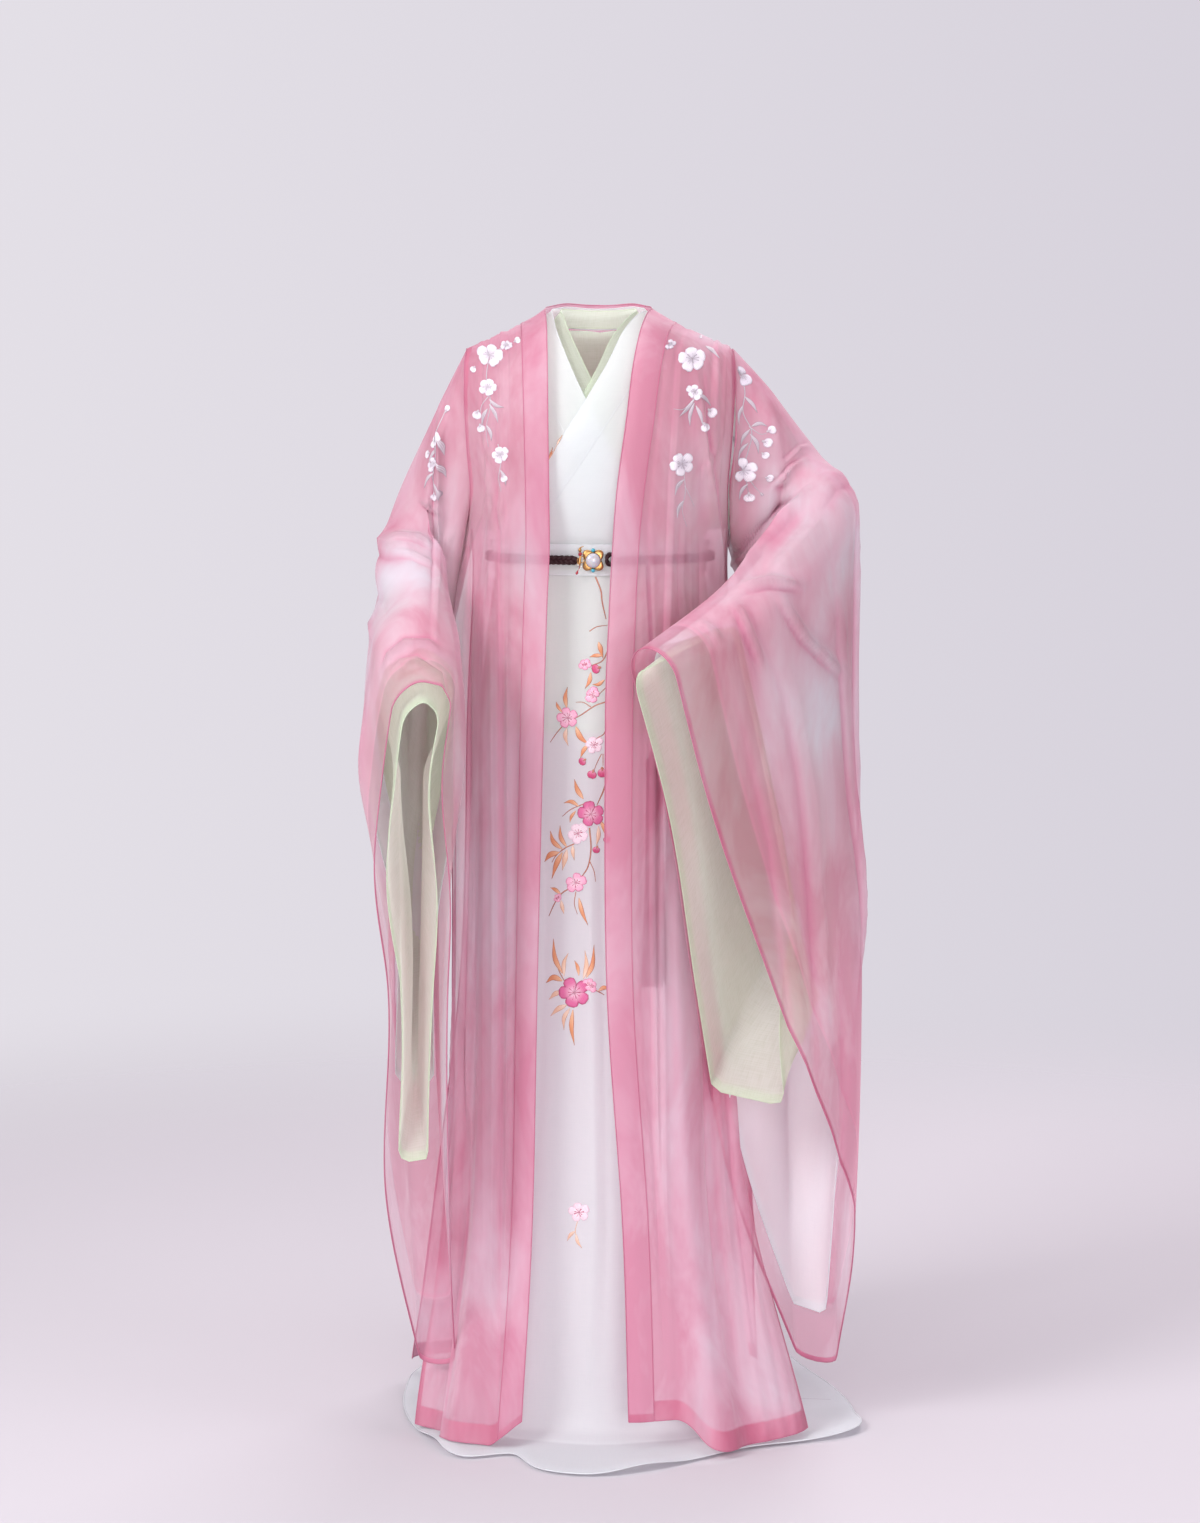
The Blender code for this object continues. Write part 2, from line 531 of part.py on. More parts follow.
# ---------------------------------------------------------------- sleeves
class Sleeve:
    """A great sleeve: a family of hanging loops from the outer robe's armhole to the cuff. Every layer of
    the sleeve is cut from the same family, further in."""

    def __init__(self, side, stations, outer):
        self.side, self.stations, self.outer = side, stations, outer

    def across(self, u, share):
        """(middle, half vector towards the outer side) of the outer sleeve's loop, at shares of its depth."""
        clipped = min(u, len(self.stations) - 1.0)
        if u > clipped:
            end, before = self.across(clipped, share), self.across(clipped - 0.2, share)
            return [e + (e - b) * (u - clipped) * 5 for e, b in zip(end, before)]
        station = along_table(self.stations, clipped)
        top, foot, depth = station[0:3], station[3:6], np.linalg.norm(station[3:6] - station[0:3])
        middle = top + (foot - top) * share[:, None]
        knots = np.array([0.0, 0.2, 0.45, 0.75, 1.0])
        shifts = np.array([[0.0], [station[13]], [station[14]], [station[15]], [0.0]])
        middle[:, 0] += along_table(shifts, share, knots)[:, 0]
        middle[:, 1] += station[16] * np.sin(np.pi * np.clip(share, 0, 1) ** 2)
        cap = station[8]
        widths = np.array([[cap], [station[9]], [station[10]], [station[11]], [station[12]]])
        width = along_table(widths, share, knots)[:, 0]
        top_round = 1 - np.clip(share * depth / cap, 0, 1)
        foot_round = 1 - np.clip((1 - share) * depth / 0.035, 0, 1)
        width = width * np.sqrt((1 - top_round**2) * (1 - foot_round**2))
        facing = station[6] + (station[7] - station[6]) * smooth_step((share - 0.30) / 0.55)
        facing = np.radians(facing)
        out = np.stack([np.cos(facing), np.sin(facing), 0 * facing], axis=-1)
        back, front = self.outer.armhole_edge(self.side, share)
        blend = smooth_step(u / 0.9)
        middle = (back + front) / 2 * (1 - blend) + middle * blend
        return middle, (back - front) / 2 * (1 - blend) + out * width[:, None] * blend

    def loop(self, u, shares, layer):
        """One layer's loop: from the top down its outer side, then up its inner side."""
        layers_in, armhole_share, cuff_share, cuff_station, cuff_reach = layer
        looser = 1.2 * (1 - smooth_step(u)) + 0.8 * math.exp(-(((u - 2) / 0.7) ** 2))
        inset = layers_in * SLEEVE_LAYER * (1 + looser)
        clipped = min(u, len(self.stations) - 1.0)
        station = along_table(self.stations, clipped)
        depth = np.linalg.norm(station[3:6] - station[0:3])
        if u < 0.9:
            ring = np.concatenate(self.outer.armhole_edge(self.side, np.array([0.0, 1.0])))
            depth = min(depth, np.ptp(ring[:, 2]))
        along = smooth_step(u / cuff_station)
        bottom = armhole_share + (cuff_share - armhole_share) * along
        a, b = 1.6 * inset / depth, bottom - 1.2 * inset / depth
        shares = shares ** (1 + (TOP_CROWDING - 1) * smooth_step(u / 1.6))
        share = a + (b - a) * shares
        middle, half = self.across(u, share)
        if layers_in == 0:
            outer_side = inner_side = np.ones_like(share)
        else:
            thick = np.maximum(np.linalg.norm(half, axis=-1), 1e-6)
            cap = 0.040
            top_round = 1 - np.clip((share - a) * depth / cap, 0, 1)
            foot_round = 1 - np.clip((b - share) * depth / 0.030, 0, 1)
            inner_side = np.maximum(thick - inset, 0) / thick
            inner_side = inner_side * np.sqrt((1 - top_round**2) * (1 - foot_round**2))
            low = smooth_step((share - 0.15) / 0.4) * smooth_step((u - 3) / 2)
            outer_side = inner_side * (1 - (1 - cuff_reach) * low)
        outward = middle + half * outer_side[:, None]
        inward = middle - half * inner_side[:, None]
        return np.concatenate([outward, inward[-2:0:-1]])

    def layer(self, robe, shares, layer):
        """A layer of the sleeve as a cloth, sewn to its own robe's armhole."""
        shares = np.array(shares, float)
        own_back, own_front = robe.armhole_edge(self.side, shares)
        own = np.concatenate([own_back, own_front[-2:0:-1]])
        own[:, 0] += self.side * SLEEVE_GAP
        cuff = layer[3]
        stations = [u for u in SLEEVE_STATIONS if u < cuff - 0.2] + [cuff]
        loops = [self.loop(u, shares, layer) for u in stations]
        if robe is self.outer:
            loops[0] = own
        else:
            loops = [own, own * 0.5 + loops[0] * 0.5] + loops
        grid = np.array(loops)
        name = f"{robe.name}_sleeve_{SIDES[self.side]}"
        cloth(name, grid if self.side > 0 else grid[:, ::-1], robe.slot, closed=True)


# ---------------------------------------------------------------- skirt, waistband and belt
def skirt_point(row, turn, out=0.0):
    """A point of the skirt's outer face; turn goes from the front round the wearer's left, in radians.
    Past the last row the cloth spreads over the floor to the hem."""
    row, turn = np.broadcast_arrays(np.asarray(row, float), np.asarray(turn, float))
    last = len(SKIRT) - 1
    height, left, right, front, back, wave = np.moveaxis(along_table(SKIRT, np.minimum(row, last)), -1, 0)
    seam_calm = 1 - np.exp(-((np.cos(turn) / 0.22) ** 2))
    ripple = np.cos(SKIRT_WAVES * turn + 0.6 * np.sin(2 * turn)) * seam_calm
    ripple = ripple * (1 - 0.55 * np.exp(-((turn / 0.7) ** 2)))
    half_width = np.where(np.sin(turn) >= 0, left, right) + wave * ripple + out
    depth = np.where(np.cos(turn) >= 0, front, back) + wave * ripple + out
    fallen = np.stack([half_width * np.sin(turn), -depth * np.cos(turn), height], axis=-1)
    hem = np.array(HEM, float)
    reach = along_table(hem[:, 1:], np.degrees(turn), hem[:, 0])[..., 0]
    lift = HEM_LIFT * np.maximum(0, np.sin(6 * turn + 0.4)) ** 2 * seam_calm
    lying = np.stack([reach * np.sin(turn), -reach * np.cos(turn), HEM_HEIGHT + lift], axis=-1)
    spread = np.clip(row - last, 0, 1)[..., None]
    return fallen * (1 - spread) + lying * spread


def skirt():
    rows = np.array([0, 1, 2, 3, 4, 5, 6, 7, 8, 8.5, 9], float)
    gap = math.degrees(2 * SEAM / 0.13)
    for name, start in (("front", -90), ("back", 90)):
        turn = np.radians(np.linspace(start + gap / 2, start + 180 - gap / 2, 18))
        turn = (turn + np.pi) % (2 * np.pi) - np.pi
        cloth(f"robe_skirt_{name}", skirt_point(rows[:, None], turn), "robe_white")


def waist_ring(height, offset, turn):
    """Points round the waist at a distance out from the figure."""
    depth = np.where(np.cos(turn) >= 0, 0.100, 0.078) + offset
    ring = [(0.128 + offset) * np.sin(turn), -depth * np.cos(turn), np.full_like(turn, height)]
    return np.stack(ring, axis=-1)


def waistband():
    turn = np.radians(np.linspace(-180, 180, 33)[:-1])
    rings = ((0.5, 0.0046), (0.0, 0.0), (-0.5, 0.0))  # share of its height, and how far it flares
    grid = np.array(
        [waist_ring(WAIST_HEIGHT + WAISTBAND_TALL * h, WAISTBAND_OFFSET + out, turn) for h, out in rings]
    )
    cloth("robe_waistband", grid, "robe_white", closed=True)


def tube(name, points, radius, slot, resolution=1, cyclic=False, swell=None):
    """A round cord along points, given with heights above the floor; swell scales its radius at each."""
    curve = bpy.data.curves.new(name, "CURVE")
    curve.dimensions = "3D"
    spline = curve.splines.new("POLY")
    spline.points.add(len(points) - 1)
    for k, (place, point) in enumerate(zip(spline.points, points)):
        place.co = (point[0], point[1], point[2] - NECK_HEIGHT, 1.0)
        place.radius = 1.0 if swell is None else swell[k]
    spline.use_cyclic_u = cyclic
    curve.bevel_depth = radius
    curve.bevel_resolution = resolution
    curve.use_fill_caps = not cyclic
    curve.materials.append(material(slot))
    obj = bpy.data.objects.new(name, curve)
    bpy.data.collections["Hanfu"].objects.link(obj)


def ball(name, slot, radius, centre, depth_share=1.0, rings=8):
    """A round bead, flattened front to back by depth_share."""
    mesh = bpy.data.meshes.new(name)
    shape = bmesh.new()
    bmesh.ops.create_uvsphere(shape, u_segments=rings + 2, v_segments=rings, radius=radius)
    bmesh.ops.scale(shape, vec=(1, depth_share, 1), verts=shape.verts)
    shape.to_mesh(mesh)
    shape.free()
    mesh.shade_smooth()
    obj = add_object(name, mesh, slot)
    obj.location = (centre[0], centre[1], centre[2] - NECK_HEIGHT)


def setting(back):
    """The buckle's gilt setting: a shallow dish whose rim grows into four leaves, its flat back at y = back."""
    turn = np.radians(np.arange(0, 360, 15))
    edge = SETTING_RADIUS + SETTING_LEAF * np.sin(2 * turn) ** 2
    shape = bmesh.new()
    rings = []
    for radius, share, depth in SETTING_SECTION:
        reach = share * (edge if radius is None else radius + 0 * turn)
        places = np.stack([reach * np.cos(turn), np.full_like(turn, -depth), reach * np.sin(turn)], axis=-1)
        rings.append([shape.verts.new(place) for place in places])
    for ring, depth in ((rings[0][::-1], 0.0), (rings[-1], SETTING_SECTION[-1][2])):
        middle = shape.verts.new((0.0, -depth, 0.0))
        for one, two in zip(ring, ring[1:] + ring[:1]):
            shape.faces.new((middle, one, two))
    for low, high in zip(rings, rings[1:]):
        for k in range(len(turn)):
            shape.faces.new((low[k - 1], low[k], high[k], high[k - 1]))
    bmesh.ops.recalc_face_normals(shape, faces=shape.faces)
    mesh = bpy.data.meshes.new("buckle_setting")
    shape.to_mesh(mesh)
    shape.free()
    add_object("buckle_setting", mesh, "gilt").location = (BUCKLE_X, back, WAIST_HEIGHT - NECK_HEIGHT)


def belt():
    """The cord round the waist, its gilt buckle with a round stone, a braided knot and a small charm."""
    offset = WAISTBAND_OFFSET + SEAM + 0.0008 + BELT_THICK / 2
    knot_right = KNOT_X + KNOT_RADIUS + KNOT_CORD + 2 * SEAM
    start = math.asin(BELT_END / (0.128 + offset))
    end = math.asin(knot_right / (0.128 + offset))
    turn = np.linspace(end, start + 2 * math.pi, 29)
    turn = (turn + np.pi) % (2 * np.pi) - np.pi
    tube("belt_cord", waist_ring(WAIST_HEIGHT, offset, turn), BELT_THICK / 2, "belt_cord")
    front = -0.100 - WAISTBAND_OFFSET - 0.0014
    back = -0.100 - WAISTBAND_OFFSET - SETTING_STAND
    setting(back)
    middle = back - SETTING_SECTION[-1][2] - SEAM - STONE_RADIUS * STONE_FLAT
    ball("buckle_stone", "stone", STONE_RADIUS, (BUCKLE_X, middle, WAIST_HEIGHT), STONE_FLAT, 10)
    for name, way in (("top", 1), ("foot", -1)):
        rise = SETTING_RADIUS + BEAD_RADIUS - SEAM
        ball(f"buckle_bead_{name}", "turquoise", BEAD_RADIUS, (BUCKLE_X, back - 0.0032, WAIST_HEIGHT + way * rise), 1.0, 6)
    turn = np.radians(np.arange(0, 360, 30))
    knot = np.stack(
        [
            KNOT_X + KNOT_RADIUS * np.cos(turn),
            np.full_like(turn, front - KNOT_CORD - 0.0014),
            WAIST_HEIGHT + 0.0012 + KNOT_TALL * np.sin(turn),
        ],
        axis=-1,
    )
    tube("belt_knot", knot, KNOT_CORD, "belt_cord", cyclic=True)
    charm = np.array([(x, front - 0.0055 - SEAM, WAIST_HEIGHT + z) for x, z, _ in CHARM])
    tube("charm_gilt", charm, 0.001, "gilt", swell=[1000 * r for _, _, r in CHARM])
    ball("charm_bead", "stone_red", BEAD_RADIUS, (-0.0260, front - 0.0099, WAIST_HEIGHT + 0.0085), 1.0, 6)
    drop = [(x, front - 0.0055 - SEAM, WAIST_HEIGHT + z) for x, z, _ in CHARM_DROP]
    tube("charm_drop", drop, 0.001, "stone_red", swell=[1000 * r for _, _, r in CHARM_DROP])


def tassel():
    """The belt's hanging cord with a tassel, whose strands grow from its head."""
    radius = 0.0030
    top = WAIST_HEIGHT - BELT_THICK / 2 - SEAM
    back = -(0.100 + WAISTBAND_OFFSET + 0.0008) * math.cos(math.asin(TASSEL_X / 0.148)) - 2 * radius
    heights = np.linspace(top, TASSEL_TOP + SEAM, 8)
    share = (heights - TASSEL_TOP) / (top - TASSEL_TOP)
    points = [
        (TASSEL_X + TASSEL_DRIFT * (1 - s), TASSEL_Y + (back - TASSEL_Y) * s**3, h)
        for s, h in zip(share, heights)
    ]
    tube("tassel_cord", points, radius, "belt_cord")
    shape = bmesh.new()
    bmesh.ops.create_grid(shape, x_segments=STRAND_COLUMNS, y_segments=STRAND_ROWS, size=0.5)
    for vert in shape.verts:
        vert.co.x *= 2 * TASSEL_HALF_WIDTH
        vert.co.y *= 2 * TASSEL_HALF_DEPTH
    strands = list(shape.faces)
    bmesh.ops.reverse_faces(shape, faces=strands)
    border = [e for e in shape.edges if e.is_boundary]
    for rise, share in ((TASSEL_TOP - TASSEL_NECK - 0.006, 1.0), (0.006, 0.55)):
        grown = bmesh.ops.extrude_edge_only(shape, edges=border)["geom"]
        border = [g for g in grown if isinstance(g, bmesh.types.BMEdge)]
        for vert in [g for g in grown if isinstance(g, bmesh.types.BMVert)]:
            vert.co.z += rise
            vert.co.x *= share
            vert.co.y *= share
    bmesh.ops.contextual_create(shape, geom=border)
    for face in strands:
        centre = face.calc_center_median().copy()
        bmesh.ops.inset_individual(shape, faces=[face], thickness=0.0005, use_even_offset=True)
        length = TASSEL_NECK - TASSEL_FOOT + 0.010 * math.sin(3700 * centre.x + 500 * centre.y)
        for part in range(2):
            face = bmesh.ops.extrude_discrete_faces(shape, faces=[face])["faces"][0]
            for vert in face.verts:
                vert.co.z -= length / 2
                vert.co.x += 0.5 * centre.x / 2
                vert.co.y += 0.4 * centre.y / 2
    bmesh.ops.recalc_face_normals(shape, faces=shape.faces)
    mesh = bpy.data.meshes.new("tassel")
    shape.to_mesh(mesh)
    shape.free()
    obj = add_object("tassel", mesh, "tassel")
    obj.location = (TASSEL_X + TASSEL_DRIFT, TASSEL_Y, TASSEL_NECK - NECK_HEIGHT)


def main():
    for obj in list(bpy.data.objects):
        bpy.data.objects.remove(obj)
    bpy.context.scene.collection.children.link(bpy.data.collections.new("Hanfu"))
    outer = Robe(
        "outer", "outer_silk", OUTER, OUTER_RIDGE, OUTER_NECK, {1: OUTER_LEFT_EDGE, -1: OUTER_RIGHT_EDGE},
        OUTER_SHARES, lambda side, row, angle: 0 * row, outer_fold, hem_fall,
    )
    robe = Robe(
        "robe", "robe_white", FIGURE, RIDGE, ROBE_NECK, {1: ROBE_LEFT_EDGE, -1: ROBE_RIGHT_EDGE},
        INNER_SHARES, crossing_offset(ROBE_OFFSET, CROSSING),
    )
    under = Robe(
        "under", "under_green", FIGURE, RIDGE, UNDER_NECK, {1: UNDER_LEFT_EDGE, -1: UNDER_RIGHT_EDGE},
        INNER_SHARES, crossing_offset(UNDER_OFFSET, UNDER_CROSSING),
    )
    low_rows = {outer: (0, 0.5, 1, 2, 3, 4, 16, 17, 18, 19, 19.5, 20), robe: (2, 14), under: (1, 2, 14, 15)}
    columns = {outer: 10, robe: 7, under: 6}
    for made in (outer, robe, under):
        for side in SIDES:
            made.half_body(side, low_rows[made], columns[made])
            made.collar(side, low_rows[made])
    for side, stations, layers in ((1, LEFT_SLEEVE, LEFT_LAYERS), (-1, RIGHT_SLEEVE, RIGHT_LAYERS)):
        sleeve = Sleeve(side, stations, outer)
        sleeve.layer(outer, OUTER_SHARES[:-1] + (0.96, 1), layers["outer"])
        sleeve.layer(robe, INNER_SHARES[:-1] + (0.96, 1), layers["robe"])
        sleeve.layer(under, INNER_SHARES[:-1] + (0.96, 1), layers["under"])
    skirt()
    waistband()
    belt()
    tassel()


main()
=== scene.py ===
# %% [markdown]
# # A hanfu of three layers, on its worn form
#
# A hanfu set is worn in layers. Next to the skin lies a pale green under-robe. Over it comes a white robe
# that crosses left over right and carries a waistband and a long skirt. Last comes a sheer pink robe with
# great sleeves, which stays open down the front. Here each piece of cloth is one curved sheet, worked out
# from a few tables of sections, the way a tailor works from a few measures.

# %% Load the frame and note its size
import math

import bmesh
import bpy
import numpy as np
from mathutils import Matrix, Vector
from mathutils.bvhtree import BVHTree


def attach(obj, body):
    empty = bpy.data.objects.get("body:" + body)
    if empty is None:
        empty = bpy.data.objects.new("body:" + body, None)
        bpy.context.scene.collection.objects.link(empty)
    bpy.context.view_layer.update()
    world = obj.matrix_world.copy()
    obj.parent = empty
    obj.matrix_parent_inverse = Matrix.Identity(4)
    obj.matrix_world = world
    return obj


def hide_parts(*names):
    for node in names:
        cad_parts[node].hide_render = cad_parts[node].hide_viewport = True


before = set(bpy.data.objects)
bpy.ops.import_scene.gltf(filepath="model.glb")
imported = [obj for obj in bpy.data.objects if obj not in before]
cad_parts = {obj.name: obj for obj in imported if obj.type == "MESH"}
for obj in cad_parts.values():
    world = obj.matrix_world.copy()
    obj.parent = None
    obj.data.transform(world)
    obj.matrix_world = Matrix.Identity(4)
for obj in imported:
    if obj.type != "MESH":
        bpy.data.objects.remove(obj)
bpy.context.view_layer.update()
scene = bpy.context.scene

# %% [markdown]
# ## The camera
#
# A long lens from nearly five metres away keeps the robe's proportions calm, as in a catalogue. It stands
# at chest height and looks down a little, so the hem's spread over the floor shows. The camera comes first.

# %% Place the camera
camera_data = bpy.data.cameras.new("camera")
camera_data.lens = 80.5
camera_data.sensor_width = 36
camera = bpy.data.objects.new("camera", camera_data)
camera.location = (0.0, -4.6, -0.07)
camera.rotation_euler = (math.radians(90 - 6.6), 0, 0)
scene.collection.objects.link(camera)
scene.camera = camera
print("camera", tuple(round(c, 2) for c in camera.location))

# %% [markdown]
# ## Measures
#
# Heights are given above the floor. The row frame's origin is the middle of the neck opening, so one number
# carries everything down.

# %% Driving sizes
NECK_HEIGHT = 1.500
NECK_SIDE = 0.060
SHOULDER_SOFTNESS = 0.02
UNDER_OFFSET, ROBE_OFFSET = -0.0065, 0.0050
CROSSING, UNDER_CROSSING = 0.0050, 0.0068
SLEEVE_LAYER = 0.007
WAIST_HEIGHT, WAISTBAND_TALL = 1.178, 0.040
WAIST_SIDE, WAIST_FRONT, WAIST_BACK = 0.128, 0.100, 0.078  # from the middle of the waist
WAISTBAND_OFFSET = ROBE_OFFSET + CROSSING + 0.0055
BELT_THICK = 0.0120

# height at the neck side, half width, depth (back +, front -), fall per metre to the side, armhole in degrees
FIGURE = (
    (0.95, 0.16, 0.118, 0, 90),  # back hip
    (1.06, 0.146, 0.098, 0, 90),
    (WAIST_HEIGHT, WAIST_SIDE, WAIST_BACK, 0, 90),
    (1.215, 0.14, 0.086, 0.02, 90),  # back armpit
    (1.28, 0.158, 0.098, 0.12, 71),
    (1.36, 0.172, 0.1, 0.28, 66),  # shoulder blade
    (1.43, 0.184, 0.084, 0.4, 62),
    (1.474, 0.19, 0.052, 0.44, 60),
    (1.492, 0.19, 0, 0.45, 59),  # shoulder ridge
    (1.472, 0.19, -0.056, 0.44, 60),
    (1.425, 0.184, -0.096, 0.38, 63),
    (1.35, 0.17, -0.12, 0.24, 67),  # chest
    (1.27, 0.155, -0.122, 0.08, 72),
    (1.215, 0.14, -0.112, 0.02, 90),  # front armpit
    (WAIST_HEIGHT, WAIST_SIDE, -WAIST_FRONT, 0, 90),
    (1.06, 0.146, -0.108, 0, 90),
    (0.95, 0.16, -0.118, 0, 90),  # front hip
)
RIDGE, ARMHOLE_ROWS = 8, 5
UNDER_NECK, ROBE_NECK, OUTER_NECK = 7.45, 7, 9

# the pink robe from its back hem over the shoulder to its front hem:
# height, half width left, half width right, depth, fall, armhole
OUTER = (
    (0.03, 0.236, 0.284, 0.26, 0, 66),  # back hem
    (0.3, 0.214, 0.232, 0.224, 0, 80),
    (0.62, 0.184, 0.19, 0.19, 0, 90),  # top of the side slit
    (0.96, 0.178, 0.18, 0.162, 0, 90),
    (1.11, 0.173, 0.173, 0.14, 0, 90),
    (1.195, 0.172, 0.172, 0.128, 0.04, 90),  # back armpit
    (1.27, 0.18, 0.18, 0.124, 0.12, 73),
    (1.36, 0.192, 0.192, 0.122, 0.28, 67),
    (1.438, 0.202, 0.202, 0.104, 0.4, 63),
    (1.488, 0.207, 0.207, 0.066, 0.44, 60.5),
    (1.509, 0.208, 0.208, 0, 0.45, 59),  # shoulder ridge
    (1.488, 0.207, 0.207, -0.072, 0.44, 60.5),
    (1.438, 0.202, 0.202, -0.116, 0.4, 63),
    (1.36, 0.192, 0.192, -0.141, 0.28, 67),
    (1.27, 0.18, 0.18, -0.149, 0.12, 73),
    (1.195, 0.172, 0.184, -0.15, 0.04, 90),  # front armpit
    (1.11, 0.173, 0.197, -0.154, 0, 90),
    (0.96, 0.178, 0.202, -0.164, 0, 90),
    (0.62, 0.186, 0.203, -0.182, 0, 88),
    (0.3, 0.216, 0.216, -0.2, 0, 72),
    (0.046, 0.288, 0.264, -0.234, 0, 66),  # front hem
)
OUTER_RIDGE = 10
HEM_FALL, HEM_FALL_FROM, HEM_FALL_OVER = 0.036, 20, 16
HEM_SPILL_LEFT, HEM_SPILL_RIGHT = 0.05, 0.03  # how far the front hem slides forwards over the floor

# the fronts' free edges: row, then x of the edge, x of the band's seam and how far the edge stands up, in mm
OUTER_LEFT_EDGE = (
    (10, 70, 104, 6), (11, 56, 90, 2), (12, 44, 79, 0), (13, 34, 69, 0), (14, 22, 57, 0), (15, 16.5, 50, 0),
    (16, 12, 46, 0), (17, 7, 42, 0), (18, 9, 43, 0), (19, 30, 64, 0), (20, 38, 72, 0),
)
OUTER_RIGHT_EDGE = (
    (10, 73.5, 106, 6), (11, 70.5, 103, 2), (12, 69, 101, 0), (13, 68, 99, 0), (14, 67, 98, 0),
    (15, 66.5, 98, 0), (16, 70, 101, 0), (17, 74.5, 106, 0), (18, 83, 115, 0), (19, 90, 122, 0),
    (20, 104, 136, 0),
)
ROBE_LEFT_EDGE = (
    (8, 60, 93, 13), (9, 33, 79, 4), (10, 6, 53, 0), (11, -41, 5, 0), (12, -96, -48, 0), (13, -127, -84, 0),
    (14, -127, -100, 0),
)
ROBE_RIGHT_EDGE = (
    (8, 64, 96, 13), (9, 56, 96, 4), (10, 36, 83, 0), (11, 0, 48, 0), (12, -40, 8, 0), (13, -70, -22, 0),
    (14, -88, -40, 0),
)
UNDER_LEFT_EDGE = (
    (8, 50, 74, 22), (9, 20, 50, 6), (10, -6, 25, 0), (11, -48, -17, 0), (12, -90, -60, 0),
    (13, -110, -80, 0), (14, -112, -82, 0), (16, -112, -82, 0),
)
UNDER_RIGHT_EDGE = (
    (8, 54, 76, 22), (9, 39, 69, 6), (10, 15, 46, 0), (11, -20, 11, 0), (12, -50, -19, 0),
    (13, -70, -39, 0), (14, -75, -44, 0), (16, -75, -44, 0),
)
SIDES = {1: "left", -1: "right"}  # the wearer's
COLLARS = {"under": (0.024, 0.3), "robe": (0.03, 0.4), "outer": (0.026, 0.55)}  # width, lean at the back

# the pink robe's hanging folds: angle, width in degrees, depth at the hem, row where each begins
LEFT_FRONT_FOLDS = (
    (32, 5, 0.011, 13), (45, 5.5, -0.01, 12), (58, 6, 0.014, 14), (66, 6, 0.018, 18.8),
)
RIGHT_FRONT_FOLDS = (
    (36, 5, -0.009, 13), (47, 5, 0.014, 12), (59, 5, -0.01, 14), (68, 6, 0.014, 18),
)
BACK_FOLDS = (
    (11, 5, 0.012, 7), (24, 5.5, -0.01, 6), (37, 5, 0.014, 7.5), (51, 6, -0.011, 6),
    (64, 5, 0.01, 4.5),
)

# the great sleeves, as hanging loops: top x, y, height; foot x, y, height; way out in degrees at the top and
# low down; cap radius; half widths; shifts of the middle; how far the low part swings back
LEFT_SLEEVE = (
    (0.18, 0, 1.455, 0.176, 0.015, 1.19, 90, 90, 0.046,
     0.056, 0.058, 0.056, 0.036, 0, 0, 0, 0),
    (0.236, 0.004, 1.392, 0.218, 0.03, 1.02, 88, 84, 0.048,
     0.054, 0.06, 0.058, 0.034, 0, 0, 0, 0),
    (0.28, -0.002, 1.324, 0.254, 0.028, 0.83, 54, 52, 0.048,
     0.054, 0.058, 0.056, 0.034, 0, 0.003, 0.004, 0),
    (0.293, -0.062, 1.272, 0.276, -0.006, 0.6, 8, 16, 0.048,
     0.052, 0.052, 0.056, 0.032, 0, 0.006, 0.012, -0.008),
    (0.184, -0.186, 1.16, 0.288, -0.036, 0.32, -34, -20, 0.046,
     0.054, 0.06, 0.066, 0.032, 0.003, 0.012, 0.026, -0.022),
    (0.06, -0.29, 1.076, 0.297, -0.06, 0.078, -41, -38, 0.04,
     0.044, 0.076, 0.098, 0.031, 0.004, 0.008, 0.018, -0.034),
)
RIGHT_SLEEVE = (
    (-0.18, 0, 1.452, -0.176, 0.015, 1.19, 90, 90, 0.046,
     0.056, 0.058, 0.056, 0.036, 0, 0, 0, 0),
    (-0.222, 0.004, 1.368, -0.212, 0.028, 1.01, 96, 96, 0.048,
     0.054, 0.056, 0.054, 0.034, 0, 0, 0, 0),
    (-0.256, -0.006, 1.276, -0.236, 0.012, 0.84, 120, 114, 0.048,
     0.052, 0.052, 0.05, 0.034, 0, 0, 0, 0),
    (-0.254, -0.074, 1.19, -0.24, -0.044, 0.64, 166, 146, 0.048,
     0.054, 0.04, 0.036, 0.028, 0, -0.004, -0.006, -0.008),
    (-0.236, -0.182, 1.122, -0.234, -0.092, 0.36, 184, 164, 0.05,
     0.066, 0.032, 0.028, 0.025, -0.008, -0.008, -0.012, -0.026),
    (-0.223, -0.292, 1.068, -0.218, -0.14, 0.098, 187, 168, 0.044,
     0.074, 0.04, 0.042, 0.024, -0.021, -0.015, -0.02, -0.05),
)
TOP_CROWDING = 1.6
# the cuffs' mouths: how much narrower, from which station, where and over how much of the depth; how far the
# outer side of each layer's cuff is set back, as a share of the sheet's rows; how far the cuff's top droops;
# and how much the green sleeve is pinched near its cuff and tapers to its foot
LEFT_MOUTH = (0.15, 4.3, 0.25, 0.3, (0, 0.13, 0.17), 0, 0, 0)
RIGHT_MOUTH = (0.46, 4.3, 0.17, 0.17, (0, 0, 0), 0.034, 0.7, 0.45)
# layers in, share of the depth at the armhole and at the cuff, station of the cuff, reach of the low cuff
LEFT_LAYERS = {
    "outer": (0, 1, 1, 5, 1), "robe": (1, 1, 0.985, 4.8, 0.61), "under": (2, 1, 0.612, 5.08, 0.55),
}
RIGHT_LAYERS = {
    "outer": (0, 1, 1, 5, 1), "robe": (1, 1, 0.72, 4.45, 1), "under": (2, 1, 0.69, 5.08, 1),
}

